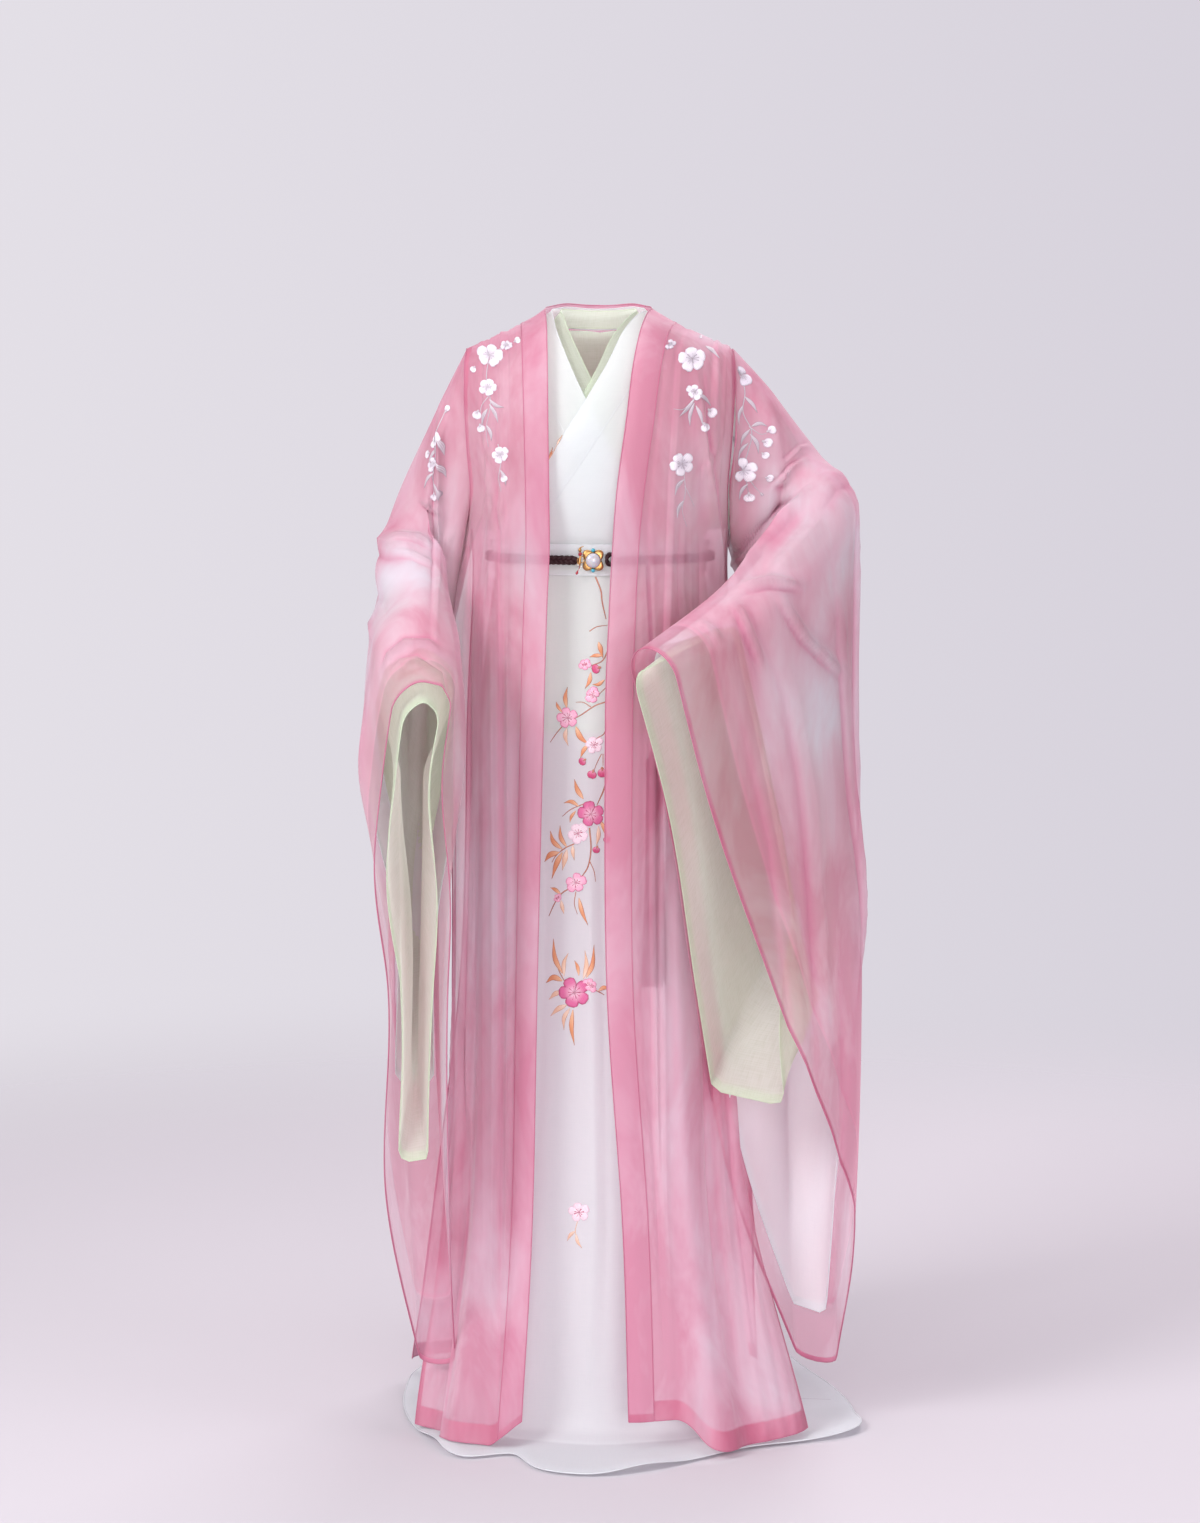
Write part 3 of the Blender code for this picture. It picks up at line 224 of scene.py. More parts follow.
# the skirt from the waist down: height, left, right, front, back, wave
SKIRT = (
    (1.162, 0.1406, 0.1406, 0.1126, 0.0901, 0),
    (1.06, 0.154, 0.154, 0.114, 0.108, 0.002),
    (0.95, 0.162, 0.162, 0.12, 0.126, 0.003),
    (0.76, 0.166, 0.166, 0.127, 0.14, 0.004),
    (0.5, 0.172, 0.172, 0.138, 0.156, 0.006),
    (0.26, 0.186, 0.183, 0.152, 0.174, 0.008),
    (0.09, 0.204, 0.198, 0.166, 0.194, 0.008),
    (0.026, 0.218, 0.208, 0.18, 0.212, 0.006),
    (0.008, 0.244, 0.224, 0.208, 0.242, 0.003),
)
SKIRT_WAVES = 11
HEM = (  # angle from the front round the wearer's left, and how far the hem reaches over the floor
    (-180, 0.385), (-145, 0.345), (-110, 0.285), (-79, 0.272), (-51, 0.288), (-36, 0.304), (-27, 0.262),
    (-15, 0.306), (0, 0.318), (12, 0.303), (27, 0.284), (47, 0.292), (57, 0.327), (68, 0.372),
    (82, 0.352), (110, 0.33), (145, 0.358), (180, 0.385),
)
HEM_HEIGHT, HEM_LIFT = 0.0045, 0.007
print("tables for", len(OUTER), "body sections and", len(LEFT_SLEEVE), "sleeve stations")

# %% [markdown]
# ## Smooth curves through short tables
#
# A pattern cutter draws a smooth curve through a few measured points. `along_table` does the same: it reads
# a table at any fractional row. `smooth_step` is the soft switch from 0 to 1 that the folds use everywhere.

# %% Curve helpers
def smooth_step(x):
    x = np.clip(x, 0.0, 1.0)
    return x * x * (3 - 2 * x)


def along_table(table, position, knots=None):
    rows = np.array(table, float)
    knots = np.arange(len(rows), dtype=float) if knots is None else np.asarray(knots, float)
    position = np.clip(np.asarray(position, float), knots[0], knots[-1])
    low = np.clip(np.searchsorted(knots, position, side="right") - 1, 0, len(rows) - 2)
    tangents = np.gradient(rows, knots, axis=0)
    span = (knots[low + 1] - knots[low])[..., None]
    f = (position[..., None] - knots[low][..., None]) / span
    return (
        rows[low] * (2 * f**3 - 3 * f**2 + 1)
        + tangents[low] * span * (f**3 - 2 * f**2 + f)
        + rows[low + 1] * (3 * f**2 - 2 * f**3)
        + tangents[low + 1] * span * (f**3 - f**2)
    )


def along_edge(edge, row, column):
    """A column of an edge's table, which is in millimetres, at fractional rows."""
    table = np.array(edge, float)
    return along_table(table[:, 1:] / 1000, row, table[:, 0])[..., column - 1]


def run_along(points, axis=0):
    """The distance run along a line of points, or along an axis of a grid, from 0."""
    steps = np.linalg.norm(np.diff(points, axis=axis), axis=-1)
    return np.insert(np.cumsum(steps, axis=axis), 0, 0, axis=axis)


print("waist half width", float(along_table(FIGURE, np.array(14.0))[1]))

# %% [markdown]
# ## Colours and nodes
#
# Colours are written as the hex values that a dyer's chart would show, and turned to the linear values that
# the renderer works in. One small function adds a shader node with its settings and its links, so each
# finish below reads as a short list.

# %% Colour and node helpers
def linear(code):
    """A hex colour such as #D98AAE as linear red, green, blue and alpha."""
    parts = [int(code[k : k + 2], 16) / 255 for k in (1, 3, 5)]
    return (*[p / 12.92 if p <= 0.04045 else ((p + 0.055) / 1.055) ** 2.4 for p in parts], 1.0)


def add(tree, kind, settings=None, links=None):
    """Adds a shader node; settings name its properties or sockets, links name sockets and what feeds them."""
    node = tree.nodes.new("ShaderNode" + kind)
    for name, value in (settings or {}).items():
        if name == "stops":
            ramp = node.color_ramp.elements
            while len(ramp) < len(value):
                ramp.new(0.5)
            for element, (place, code) in zip(ramp, value):
                element.position, element.color = place, linear(code)
        elif isinstance(name, str) and hasattr(node, name):
            setattr(node, name, value)
        else:
            node.inputs[name].default_value = linear(value) if isinstance(value, str) else value
    for name, source in (links or {}).items():
        tree.links.new(source, node.inputs[name])
    return node


def new_finish(name):
    material = bpy.data.materials.new(name)
    material.use_nodes = True
    material.node_tree.nodes.clear()
    return material, material.node_tree


print("rose as linear", [round(c, 3) for c in linear("#D98AAE")])

# %% [markdown]
# ## Silk gauze, dyed in clouds
#
# The outer robe is silk gauze: a very thin open weave, so light comes through it and what lies behind it
# shows faintly. It is dyed by hand, which leaves soft clouds where the dye did not take. The clouds are a
# number on each point of the cloth, `pale`, and a noise drawn out along the length gives the streaks
# between them. Where the cloth is folded double, at hems and bands, a second number on each point makes it
# deeper and less sheer. The same number carries painted shade as well: it paints the valleys of the folds
# and ripples a deeper rose and makes them less sheer. Gauze threads are 0.2 mm apart, far too fine to show,
# so the bump draws its crinkle at 3 mm instead.

# %% Silk gauze
gauze, tree = new_finish("dip-dyed silk gauze")
pale = add(tree, "Attribute", {"attribute_name": "pale"})
doubled = add(tree, "Attribute", {"attribute_name": "doubled"})
place = add(tree, "TexCoord")
drawn_out = add(tree, "Mapping", {"Scale": (10.0, 10.0, 4.0)}, {"Vector": place.outputs["Object"]})
mottle = add(
    tree, "TexNoise", {"Scale": 1.0, "Detail": 4.0, "Roughness": 0.55, "Distortion": 0.5},
    {"Vector": drawn_out.outputs[0]},
)
uneven = add(tree, "Math", {"operation": "MULTIPLY_ADD", 1: 2.2, 2: -0.9}, {0: mottle.outputs["Fac"]})
tone = add(
    tree, "Math", {"operation": "ADD", "use_clamp": True}, {0: pale.outputs["Fac"], 1: uneven.outputs[0]}
)
dye = add(
    tree, "ValToRGB",
    {"stops": ((0.0, "#DE8BA7"), (0.3, "#E9AEC3"), (0.6, "#ECC5D6"), (1.0, "#EEE3EF"))},
    {"Fac": tone.outputs[0]},
)
# BE6888 is the deeper rose of doubled hems and bands, and also painted shade laid into fold and ripple
# valleys
deep = add(tree, "Mix", {"data_type": "RGBA", 7: "#BE6888"}, {6: dye.outputs["Color"]})
deeper = add(tree, "Math", {"operation": "MULTIPLY", 1: 0.70}, {0: doubled.outputs["Fac"]})
tree.links.new(deeper.outputs[0], deep.inputs[0])
cover = add(
    tree, "MapRange", {"From Min": -1.0, "To Min": 0.10, "To Max": 0.93}, {"Value": doubled.outputs["Fac"]}
)
crinkle_place = add(tree, "Mapping", {"Scale": (330.0, 330.0, 330.0)}, {"Vector": place.outputs["UV"]})
crinkle = add(tree, "TexNoise", {"Scale": 1.0, "Detail": 2.0}, {"Vector": crinkle_place.outputs[0]})
bump = add(tree, "Bump", {"Strength": 0.22, "Distance": 0.0006}, {"Height": crinkle.outputs["Fac"]})
surface = add(
    tree, "BsdfPrincipled",
    {"Roughness": 0.62, "Specular IOR Level": 0.25, "Sheen Weight": 0.30, "Sheen Roughness": 0.45},
    {"Base Color": deep.outputs[2], "Alpha": cover.outputs[0], "Normal": bump.outputs[0]},
)
glow = add(tree, "BsdfTranslucent", {}, {"Color": deep.outputs[2], "Normal": bump.outputs[0]})
cloth_shader = add(tree, "MixShader", {0: 0.30}, {1: surface.outputs[0], 2: glow.outputs[0]})
add(tree, "OutputMaterial", {}, {"Surface": cloth_shader.outputs[0]})
print(gauze.name)

# %% [markdown]
# ## White silk cotton and green lawn
#
# The robe is a closer weave of silk and cotton, soft and nearly matt. The under-robe is a light cotton lawn
# with slubs, the thicker places in hand-spun yarn. Slubs run both ways, about 25 mm long and under 1 mm
# wide, so two stretched noises draw them. Both cloths let a little light through.

# %% Plain weaves
WEAVES = {  # colour, shade in the slubs, slub strength, bump, share of light let through
    "white silk cotton": ("#EFF1F3", "#E6E8ED", 0.30, 0.10, 0.54),
    "pale green cotton lawn": ("#EDF5E7", "#DFE8D5", 0.85, 0.30, 0.72),
}
woven = {}
for name, (colour, shade, slubs, relief, through) in WEAVES.items():
    material, tree = new_finish(name)
    place = add(tree, "TexCoord")
    heights = []
    for stretch in ((40.0, 900.0, 1.0), (900.0, 40.0, 1.0)):
        run = add(tree, "Mapping", {"Scale": stretch}, {"Vector": place.outputs["UV"]})
        heights.append(add(tree, "TexNoise", {"Scale": 1.0, "Detail": 2.0}, {"Vector": run.outputs[0]}))
    lengthways, across = [noise.outputs["Fac"] for noise in heights]
    yarn = add(tree, "Math", {"operation": "ADD"}, {0: lengthways, 1: across})
    slub_range = {"From Min": 0.85, "From Max": 1.35, "To Max": slubs}
    thick = add(tree, "MapRange", slub_range, {"Value": yarn.outputs[0]})
    tint = add(tree, "Mix", {"data_type": "RGBA", 6: colour, 7: shade}, {0: thick.outputs[0]})
    bump = add(tree, "Bump", {"Strength": relief, "Distance": 0.001}, {"Height": yarn.outputs[0]})
    surface = add(
        tree, "BsdfPrincipled", {"Roughness": 0.75, "Specular IOR Level": 0.2, "Sheen Weight": 0.15},
        {"Base Color": tint.outputs[2], "Normal": bump.outputs[0]},
    )
    glow = add(tree, "BsdfTranslucent", {}, {"Color": tint.outputs[2]})
    both = add(tree, "MixShader", {0: through}, {1: surface.outputs[0], 2: glow.outputs[0]})
    add(tree, "OutputMaterial", {}, {"Surface": both.outputs[0]})
    woven[name] = material
silk_cotton, lawn = woven.values()
print(list(woven))

# %% [markdown]
# ## Thread, cord, metal and stones
#
# Embroidery is worked in glossy twisted thread, laid side by side in satin stitch. Each stitched patch
# carries its own colour on its points, and fine lines along the patch give the threads. The belt is a
# braided silk cord. Its buckle is gilt brass, a milky stone and small glassy beads.

# %% Embroidery thread
thread, tree = new_finish("satin-stitched thread")
colour = add(tree, "Attribute", {"attribute_name": "thread"})
place = add(tree, "TexCoord")
# one line for each pair of threads, 0.8 mm
lines = add(
    tree, "TexWave", {"Scale": 200.0, "Distortion": 0.6, "Detail": 1.0}, {"Vector": place.outputs["UV"]}
)
bump = add(tree, "Bump", {"Strength": 0.5, "Distance": 0.0004}, {"Height": lines.outputs["Fac"]})
# the thread lines are also painted darker, painted shade in the grooves between the threads
shade = add(
    tree, "Mix", {"data_type": "RGBA", "blend_type": "MULTIPLY", 7: "#D8CCD0"},
    {0: lines.outputs["Fac"], 6: colour.outputs["Color"]},
)
surface = add(
    tree, "BsdfPrincipled", {"Roughness": 0.42, "Sheen Weight": 0.3, "Anisotropic": 0.4},
    {"Base Color": shade.outputs[2], "Normal": bump.outputs[0]},
)
add(tree, "OutputMaterial", {}, {"Surface": surface.outputs[0]})
print(thread.name)

# %% Cord, tassel thread, gilt and stones
HARD = {  # colour, roughness, metallic, grain per metre, bump, extra sockets
    "braided silk cord": ("#2E1016", 0.62, 0.0, 1500.0, 0.5, {"Specular IOR Level": 0.3}),
    "plum tassel thread": ("#4A2436", 0.6, 0.0, 2600.0, 0.4, {"Sheen Weight": 0.4}),
    "cast gilt brass": ("#C99B62", 0.38, 1.0, 900.0, 0.15, {}),
    "milky stone": (
        "#BDBAC2", 0.20, 0.0, 90.0, 0.02,
        {"Coat Weight": 0.35, "Subsurface Weight": 0.35, "Subsurface Scale": 0.004},
    ),
    "dark red glass": ("#A01028", 0.12, 0.0, 90.0, 0.02, {"Coat Weight": 0.8}),
    "turquoise": ("#3FA9BE", 0.28, 0.0, 700.0, 0.1, {"Coat Weight": 0.3}),
    "seed pearl": ("#F0E8DC", 0.2, 0.0, 90.0, 0.02, {"Sheen Weight": 0.3, "Coat Weight": 0.4}),
}
hard = {}
for name, (colour, roughness, metallic, grain, relief, more) in HARD.items():
    material, tree = new_finish(name)
    place = add(tree, "TexCoord")
    noise = add(tree, "TexNoise", {"Scale": grain, "Detail": 3.0}, {"Vector": place.outputs["Object"]})
    dark = tuple(0.72 * c for c in linear(colour)[:3]) + (1.0,)
    tint = add(tree, "Mix", {"data_type": "RGBA", 6: linear(colour), 7: dark}, {0: noise.outputs["Fac"]})
    bump = add(tree, "Bump", {"Strength": relief, "Distance": 0.0003}, {"Height": noise.outputs["Fac"]})
    surface = add(
        tree, "BsdfPrincipled", {"Roughness": roughness, "Metallic": metallic, **more},
        {"Base Color": tint.outputs[2], "Normal": bump.outputs[0]},
    )
    add(tree, "OutputMaterial", {}, {"Surface": surface.outputs[0]})
    hard[name] = material
print(list(hard))

# %% [markdown]
# ## One sheet of cloth
#
# Every cloth below is one sheet: a grid of points with a length in metres on both axes, so a weave has its
# true size. A cut edge is turned under and sewn. `turned` adds that second layer as a narrow strip inside
# the sheet, and a fine roll along the fold itself, which is what makes the darker lines along a sheer
# garment's edges.

# %% Mesh helpers
def grid_faces(start, u, v, flip=False, joined=False):
    """The faces of a grid of points, numbered row by row from start, and their corners' places (u, v) when
    it lies flat. joined means that its last column is its first one, as on a tube."""
    i, j = np.meshgrid(np.arange(len(v) - 1), np.arange(len(u) - 1), indexing="ij")
    corners = [(i, j), (i + 1, j), (i + 1, j + 1), (i, j + 1)]
    corners = corners[:1] + corners[:0:-1] if flip else corners
    columns = len(u) - 1 if joined else len(u)
    faces = np.stack([start + a * columns + b % columns for a, b in corners], axis=-1)
    places = np.stack([np.stack([u[b], v[a]], axis=-1) for a, b in corners], axis=-2)
    return faces.reshape(-1, 4).tolist(), places.reshape(-1, 2)


def new_piece(name, points, faces, places, finish):
    """A mesh on the body, from points with heights above the floor."""
    mesh = bpy.data.meshes.new(name)
    mesh.from_pydata((points - (0, 0, NECK_HEIGHT)).tolist(), [], faces)
    mesh.uv_layers.new(name="UVMap").data.foreach_set("uv", np.concatenate(places).ravel().astype(np.float32))
    mesh.shade_smooth()
    mesh.materials.append(finish)
    obj = bpy.data.objects.new(name, mesh)
    scene.collection.objects.link(obj)
    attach(obj, "root")
    return obj


print("mesh helpers ready")

# %% Cloth builder
CLOUDS = []  # filled below: where the dye stayed pale
HEM_INSIDE, HEM_ROWS = 0.0005, 3  # how far a turned hem lies inside its sheet, and its rows of points


def pale_at(points):
    """How pale the dye is at points with heights above the floor."""
    total = np.zeros(points.shape[:-1])
    for x, y, z, wide, tall, strength in CLOUDS:
        off = ((points[..., 0] - x) / wide) ** 2 + ((points[..., 1] - y) / wide) ** 2
        total = total + strength * np.exp(-off - ((points[..., 2] - z) / tall) ** 2)
    return np.clip(total, -0.4, 1.2)


def normals_of(grid):
    """Unit normals of a grid, pointing the way the cloth's outer face looks."""
    across = np.gradient(grid, axis=1)
    down = np.gradient(grid, axis=0)
    normal = np.cross(down, across)
    return normal / np.maximum(np.linalg.norm(normal, axis=-1, keepdims=True), 1e-9)


def strip_from_edge(grid, border, width):
    """The strip of a turned hem: the sheet's own surface from a border inwards, moved inside it a little."""
    turned = grid if border in ("top", "foot") else np.swapaxes(grid, 0, 1)
    turned = turned[::-1] if border in ("foot", "right") else turned
    normal = {"top": 1, "foot": -1, "left": -1, "right": 1}[border] * normals_of(turned)
    run = run_along(turned)
    want = np.linspace(0, width, HEM_ROWS)
    places = turned - normal * HEM_INSIDE
    strip = np.empty((HEM_ROWS, turned.shape[1], 3))
    for k in range(turned.shape[1]):
        for axis in range(3):
            strip[:, k, axis] = np.interp(want, run[:, k], places[:, k, axis])
    return strip


def roll_along(line, radius, closed):
    """A thin hexagonal roll along a line of points, as a grid whose columns go round it."""
    line = np.concatenate([line, line[:1]]) if closed else line
    keep = np.concatenate([[True], np.linalg.norm(np.diff(line, axis=0), axis=-1) > 1e-5])
    line = line[keep]
    ahead = np.gradient(line, axis=0)
    ahead /= np.linalg.norm(ahead, axis=-1, keepdims=True)
    side = np.cross(ahead, (0.31, 0.87, 0.38))
    side /= np.linalg.norm(side, axis=-1, keepdims=True)
    up = np.cross(ahead, side)
    turn = np.radians(np.arange(0, 420, 60))[None, :, None]
    return line[:, None] + radius * (side[:, None] * np.cos(turn) + up[:, None] * np.sin(turn))


def cloth(name, grid, finish, closed=False, doubled=0.0, turned=(), roll=0.0, rolled=()):
    """A sheet through a grid of points with heights above the floor; turned lists (border, width) of hems."""
    layers = np.broadcast_to(doubled, grid.shape[:2])
    whole = grid
    if closed:  # its two ends meet
        whole, layers = [np.concatenate([part, part[:, :1]], axis=1) for part in (grid, layers)]
    pieces = [(whole, layers)]
    for border, width in turned:
        pieces.append((strip_from_edge(whole, border, width), 1.0))
    borders = {"top": grid[0], "foot": grid[-1], "left": grid[:, 0], "right": grid[:, -1]}
    for border in rolled:
        pieces.append((roll_along(borders[border], roll, closed and border in ("top", "foot")), 1.0))
    points, faces, places, deep = [], [], [], []
    start = 0
    for patch, layer in pieces:
        rows, columns = patch.shape[:2]
        new_faces, flat = grid_faces(start, run_along(patch, 1).mean(axis=0), run_along(patch).mean(axis=1))
        faces += new_faces
        places.append(flat)
        points.append(patch.reshape(-1, 3))
        deep.append(np.broadcast_to(layer, (rows, columns)).reshape(-1))
        start += rows * columns
    points = np.concatenate(points)
    obj = new_piece(name, points, faces, places, finish)
    mesh = obj.data
    # the second attribute is the real doubling at hems, bands and rolls, plus painted shade in fold and
    # ripple valleys
    for label, values in (("pale", pale_at(points)), ("doubled", np.concatenate(deep))):
        mesh.attributes.new(label, "FLOAT", "POINT").data.foreach_set("value", values.astype(np.float32))
    if closed:  # the two ends of the round sheet are one line of points
        merge = bmesh.new()
        merge.from_mesh(mesh)
        bmesh.ops.remove_doubles(merge, verts=merge.verts, dist=1e-6)
        merge.to_mesh(mesh)
        merge.free()
        mesh.shade_smooth()
    return obj


print("cloth builder ready")

# %% [markdown]
# ## Folds
#
# Cloth that hangs falls into soft ridges with a valley beside each, and every ridge starts where something
# holds the cloth: a shoulder, an elbow, a wrist. A fold here is a line drawn where its ridge runs, in the
# view that shows it best, with a width and a height. `folded` lifts the cloth along the line and sinks it
# beside the line. The same folds go through all layers of a sleeve, because the layers fall together.

# %% Fold tools
VIEWS = {"front": (0, 2, 1, -1), "back": (0, 2, 1, 1), "left": (1, 2, 0, 1), "right": (1, 2, 0, -1)}


def folded(grid, folds, within=None):
    """Moves a grid by folds (half width, height, points of the ridge), listed by view and in millimetres.
    It also gives a painted crease shade for each point: high in the valleys beside each ridge, below zero on
    the ridge itself."""
    normal = normals_of(grid)
    if within is not None:  # a point inside the garment, to tell outwards from inwards
        outwards = np.sign(np.sum(normal * (grid - within), axis=-1, keepdims=True).mean())
        normal = normal * outwards
    push, crease_shade = np.zeros(grid.shape[:2]), np.zeros(grid.shape[:2])
    for view, (width, height, *ridge) in [(view, fold) for view in folds for fold in folds[view]]:
        a, b, facing, sign = VIEWS[view]
        width, height, ridge = width / 1000, height / 1000, np.array(ridge) / 1000
        place = grid[..., [a, b]]
        best = np.full(grid.shape[:2], 9.0)
        side, along, total = np.zeros_like(best), np.zeros_like(best), 0.0
        lengths = np.linalg.norm(np.diff(ridge, axis=0), axis=1)
        for start, end, length in zip(ridge, ridge[1:], lengths):
            ahead = (end - start) / length
            t = np.clip((place - start) @ ahead, 0, length)
            off = place - start - t[..., None] * ahead
            far = np.linalg.norm(off, axis=-1)
            nearer = far < best
            best = np.where(nearer, far, best)
            side = np.where(nearer, off[..., 0] * ahead[1] - off[..., 1] * ahead[0], side)
            along = np.where(nearer, total + t, along)
            total += length
        s = np.copysign(best, side) / width
        shape = 0.4 * np.exp(-(s**2)) + 0.6 * np.exp(-2 * np.abs(s))
        shape = shape - 0.6 * np.exp(-2.6 * np.abs(s - 1.1)) - 0.25 * np.exp(-(((s + 1.9) / 1.3) ** 2))
        taper = smooth_step(along / (0.35 * total)) * smooth_step((total - along) / (0.35 * total))
        taper = 0.15 + 0.85 * taper if total > 0.5 else taper
        faces = smooth_step((sign * normal[..., facing] + 0.10) / 0.5)
        held = taper * faces * np.exp(-((np.maximum(best - 3 * width, 0) / width) ** 2))
        push += height * shape * held
        # painted crease shade: darkest in the valleys beside the ridge, below zero on the ridge
        shade_profile = np.exp(-(((s - 1.1) / 0.4) ** 2)) + 0.25 * np.exp(-(((s + 1.6) / 0.8) ** 2))
        shade_profile = shade_profile - 0.4 * np.exp(-(s**2))
        crease_shade += min(abs(height) / 0.007, 1.2) * shade_profile * held
    return grid + normal * push[..., None], crease_shade


def hanging_waves(grid, seed, count, height, widths, spread):
    """Small near-vertical ripples at seeded places between the drawn folds, and a painted shade that is
    darkest in their valleys.
    """
    luck = np.random.default_rng(seed)
    normal = normals_of(grid)
    push = np.zeros(grid.shape[:2])
    down = np.linspace(0, 1, len(grid))[:, None]
    across = run_along(grid, 1).mean(axis=0)[None, :]
    for _ in range(count):
        centre, width = luck.uniform(0, across[0, -1]), luck.uniform(*widths)
        top, reach = luck.uniform(-0.2, 0.9), luck.uniform(0.25, 0.8)
        lean, bend = luck.normal(0, spread), luck.normal(0, spread * 0.5)
        line = centre + lean * (down - top) + bend * np.sin(4 * (down - top))
        body = smooth_step((down - top) / 0.2) * smooth_step((top + reach - down) / 0.25)
        rise = luck.choice((-1, 1)) * height * luck.uniform(0.4, 1.0)
        push += rise * body * np.exp(-(((across - line) / width) ** 2))
    return grid + normal * push[..., None], np.clip(-push / height, 0, 1)


print("fold views:", list(VIEWS))

# %% [markdown]
# ## The body of a robe
#
# A robe's body is cut as two halves that meet at the centre back. Each half starts at the front hem, runs
# up over the shoulder and down the back, so there is no shoulder seam. The sections in the tables give its
# shape: at every row, a half ellipse with its own width, depth and armhole. The free edge of each front is
# bound by a band of doubled cloth, which goes round the neck.

# %% Robe
class Robe:
    """One robe's tables: its body's sections, the free edges of its fronts, and how far out it stands."""

    def __init__(self, name, table, ridge, neck_row, edges, offset, fold=None, fall=None):
        self.name, self.table, self.ridge = name, table, ridge
        self.neck_row, self.edges = neck_row, edges
        self.offset, self.fold, self.fall = offset, fold, fall

    def half_width(self, row, angle):
        values = along_table(self.table, row)
        if values.shape[-1] == 6:
            blend = smooth_step(0.5 + np.sin(angle))
            return values[..., 2] + (values[..., 1] - values[..., 2]) * blend
        return values[..., 1]

    def bare(self, row, angle):
        values = along_table(self.table, row)
        x = self.half_width(row, angle) * np.sin(angle)
        past_neck = np.abs(x) - NECK_SIDE
        fall = (past_neck + np.sqrt(past_neck**2 + SHOULDER_SOFTNESS**2)) / 2
        height = values[..., 0] - values[..., -2] * fall
        place = np.stack([x, values[..., -3] * np.cos(angle), height], axis=-1)
        return place if self.fall is None else place + self.fall(row, angle)

    def point(self, side, row, angle, extra=0.0):
        """Points on the cloth at fractional rows and angles in radians, + to the wearer's left."""
        row, angle = np.broadcast_arrays(np.asarray(row, float), np.asarray(angle, float))
        step = 1e-3
        down, up = np.minimum(row + step, len(self.table) - 1), np.maximum(row - step, 0)
        along = (self.bare(down, angle) - self.bare(up, angle)) / (down - up)[..., None]
        across = (self.bare(row, angle + step) - self.bare(row, angle - step)) / (2 * step)
        normal = np.cross(along, across)
        normal /= np.linalg.norm(normal, axis=-1, keepdims=True)
        push = self.offset(side, row, angle) + extra
        if self.fold is not None:
            push = push + self.fold(side, row, angle)
        return self.bare(row, angle) + normal * np.broadcast_to(push, row.shape)[..., None]

    def angle_at(self, row, x):
        angle = np.arcsin(np.clip(x / self.half_width(row, np.sign(x) * 0.5), -0.995, 0.995))
        for _ in range(4):
            angle = np.arcsin(np.clip(x / self.half_width(row, angle), -0.995, 0.995))
        return angle

    def armhole(self, row):
        return np.radians(np.minimum(along_table(self.table, row)[..., -1], 90.0))

    def start(self, side, row):
        """Where a half body begins: the band seam in front, the neckline, and the centre back."""
        seam = along_edge(self.edges[side], np.maximum(row, self.ridge), 2)
        share = np.clip((self.ridge - row) / (self.ridge - self.neck_row), 0, 1)
        seam = seam * np.sqrt(np.maximum(1 - share**2, 0))
        centre = 0 * row
        return np.where(row <= self.neck_row, centre, self.angle_at(row, side * seam))

    def half_body(self, side, rows, columns):
        """The grid of one half of the body, back hem first."""
        start = self.start(side, rows)
        end = side * self.armhole(rows)
        share = np.linspace(0, 1, columns)
        if side < 0:
            start, end = end, start
        angle = start[:, None] + (end - start)[:, None] * share
        return self.point(side, np.broadcast_to(rows[:, None], angle.shape), angle)

    def collar(self, side, rows, strips=8, turns=24):
        """The grid of the band along a front, over the shoulder and round to the centre back."""
        width, lean = COLLARS[self.name]
        edge = self.edges[side]
        seam_x, free_x, lift = (along_edge(edge, rows, column) for column in (2, 1, 3))
        share = np.linspace(0, 1, strips + 1)
        x = side * (seam_x[:, None] + (free_x - seam_x)[:, None] * share)
        row = np.broadcast_to(rows[:, None], x.shape)
        crown = 0.0016 * np.sin(np.pi * share) ** 0.6
        lying = self.point(side, row, self.angle_at(row, x), crown)
        lying[..., 2] += lift[:, None] * share**2
        across = lying[-1, -1] - lying[-1, 0]
        standing = np.array([0.0, -lean, 1.0])
        standing *= width / np.linalg.norm(standing)
        back = []
        for turn in np.linspace(0, math.pi / 2, turns + 1)[1:]:
            at = self.ridge - (self.ridge - self.neck_row) * math.sin(turn)
            seam = along_edge(edge, self.ridge, 2) * max(math.cos(turn), 0.0)
            root = self.point(side, at, self.angle_at(np.array(at), side * seam))
            root[2] += 0.0033 * smooth_step(math.sin(turn) * 3)
            blend = smooth_step(math.sin(turn) ** 1.2)
            reach = across * (1 - blend) + standing * blend
            reach[0] = across[0] * math.cos(turn) ** 1.5
            back.append(root + reach * share[:, None])
        grid = np.concatenate([lying, np.array(back)])[::-1]
        return grid[:, ::-1] if side > 0 else grid

    def armhole_edge(self, side, shares):
        """(back, front) points of the armhole's edge."""
        rows = [self.ridge + way * ARMHOLE_ROWS * shares for way in (-1, 1)]
        return [self.point(side, row, side * self.armhole(row)) for row in rows]


def crossing_offset(base, crossing):
    """The left front stands off to clear the right one it crosses, and comes back in at the side seam."""

    def offset(side, row, angle):
        if side < 0:
            return base + 0 * row
        front = smooth_step((row - (RIDGE + 0.2)) / 1.3)
        off_side = smooth_step((np.radians(72) - angle) / np.radians(30))
        return base + crossing * front * off_side

    return offset


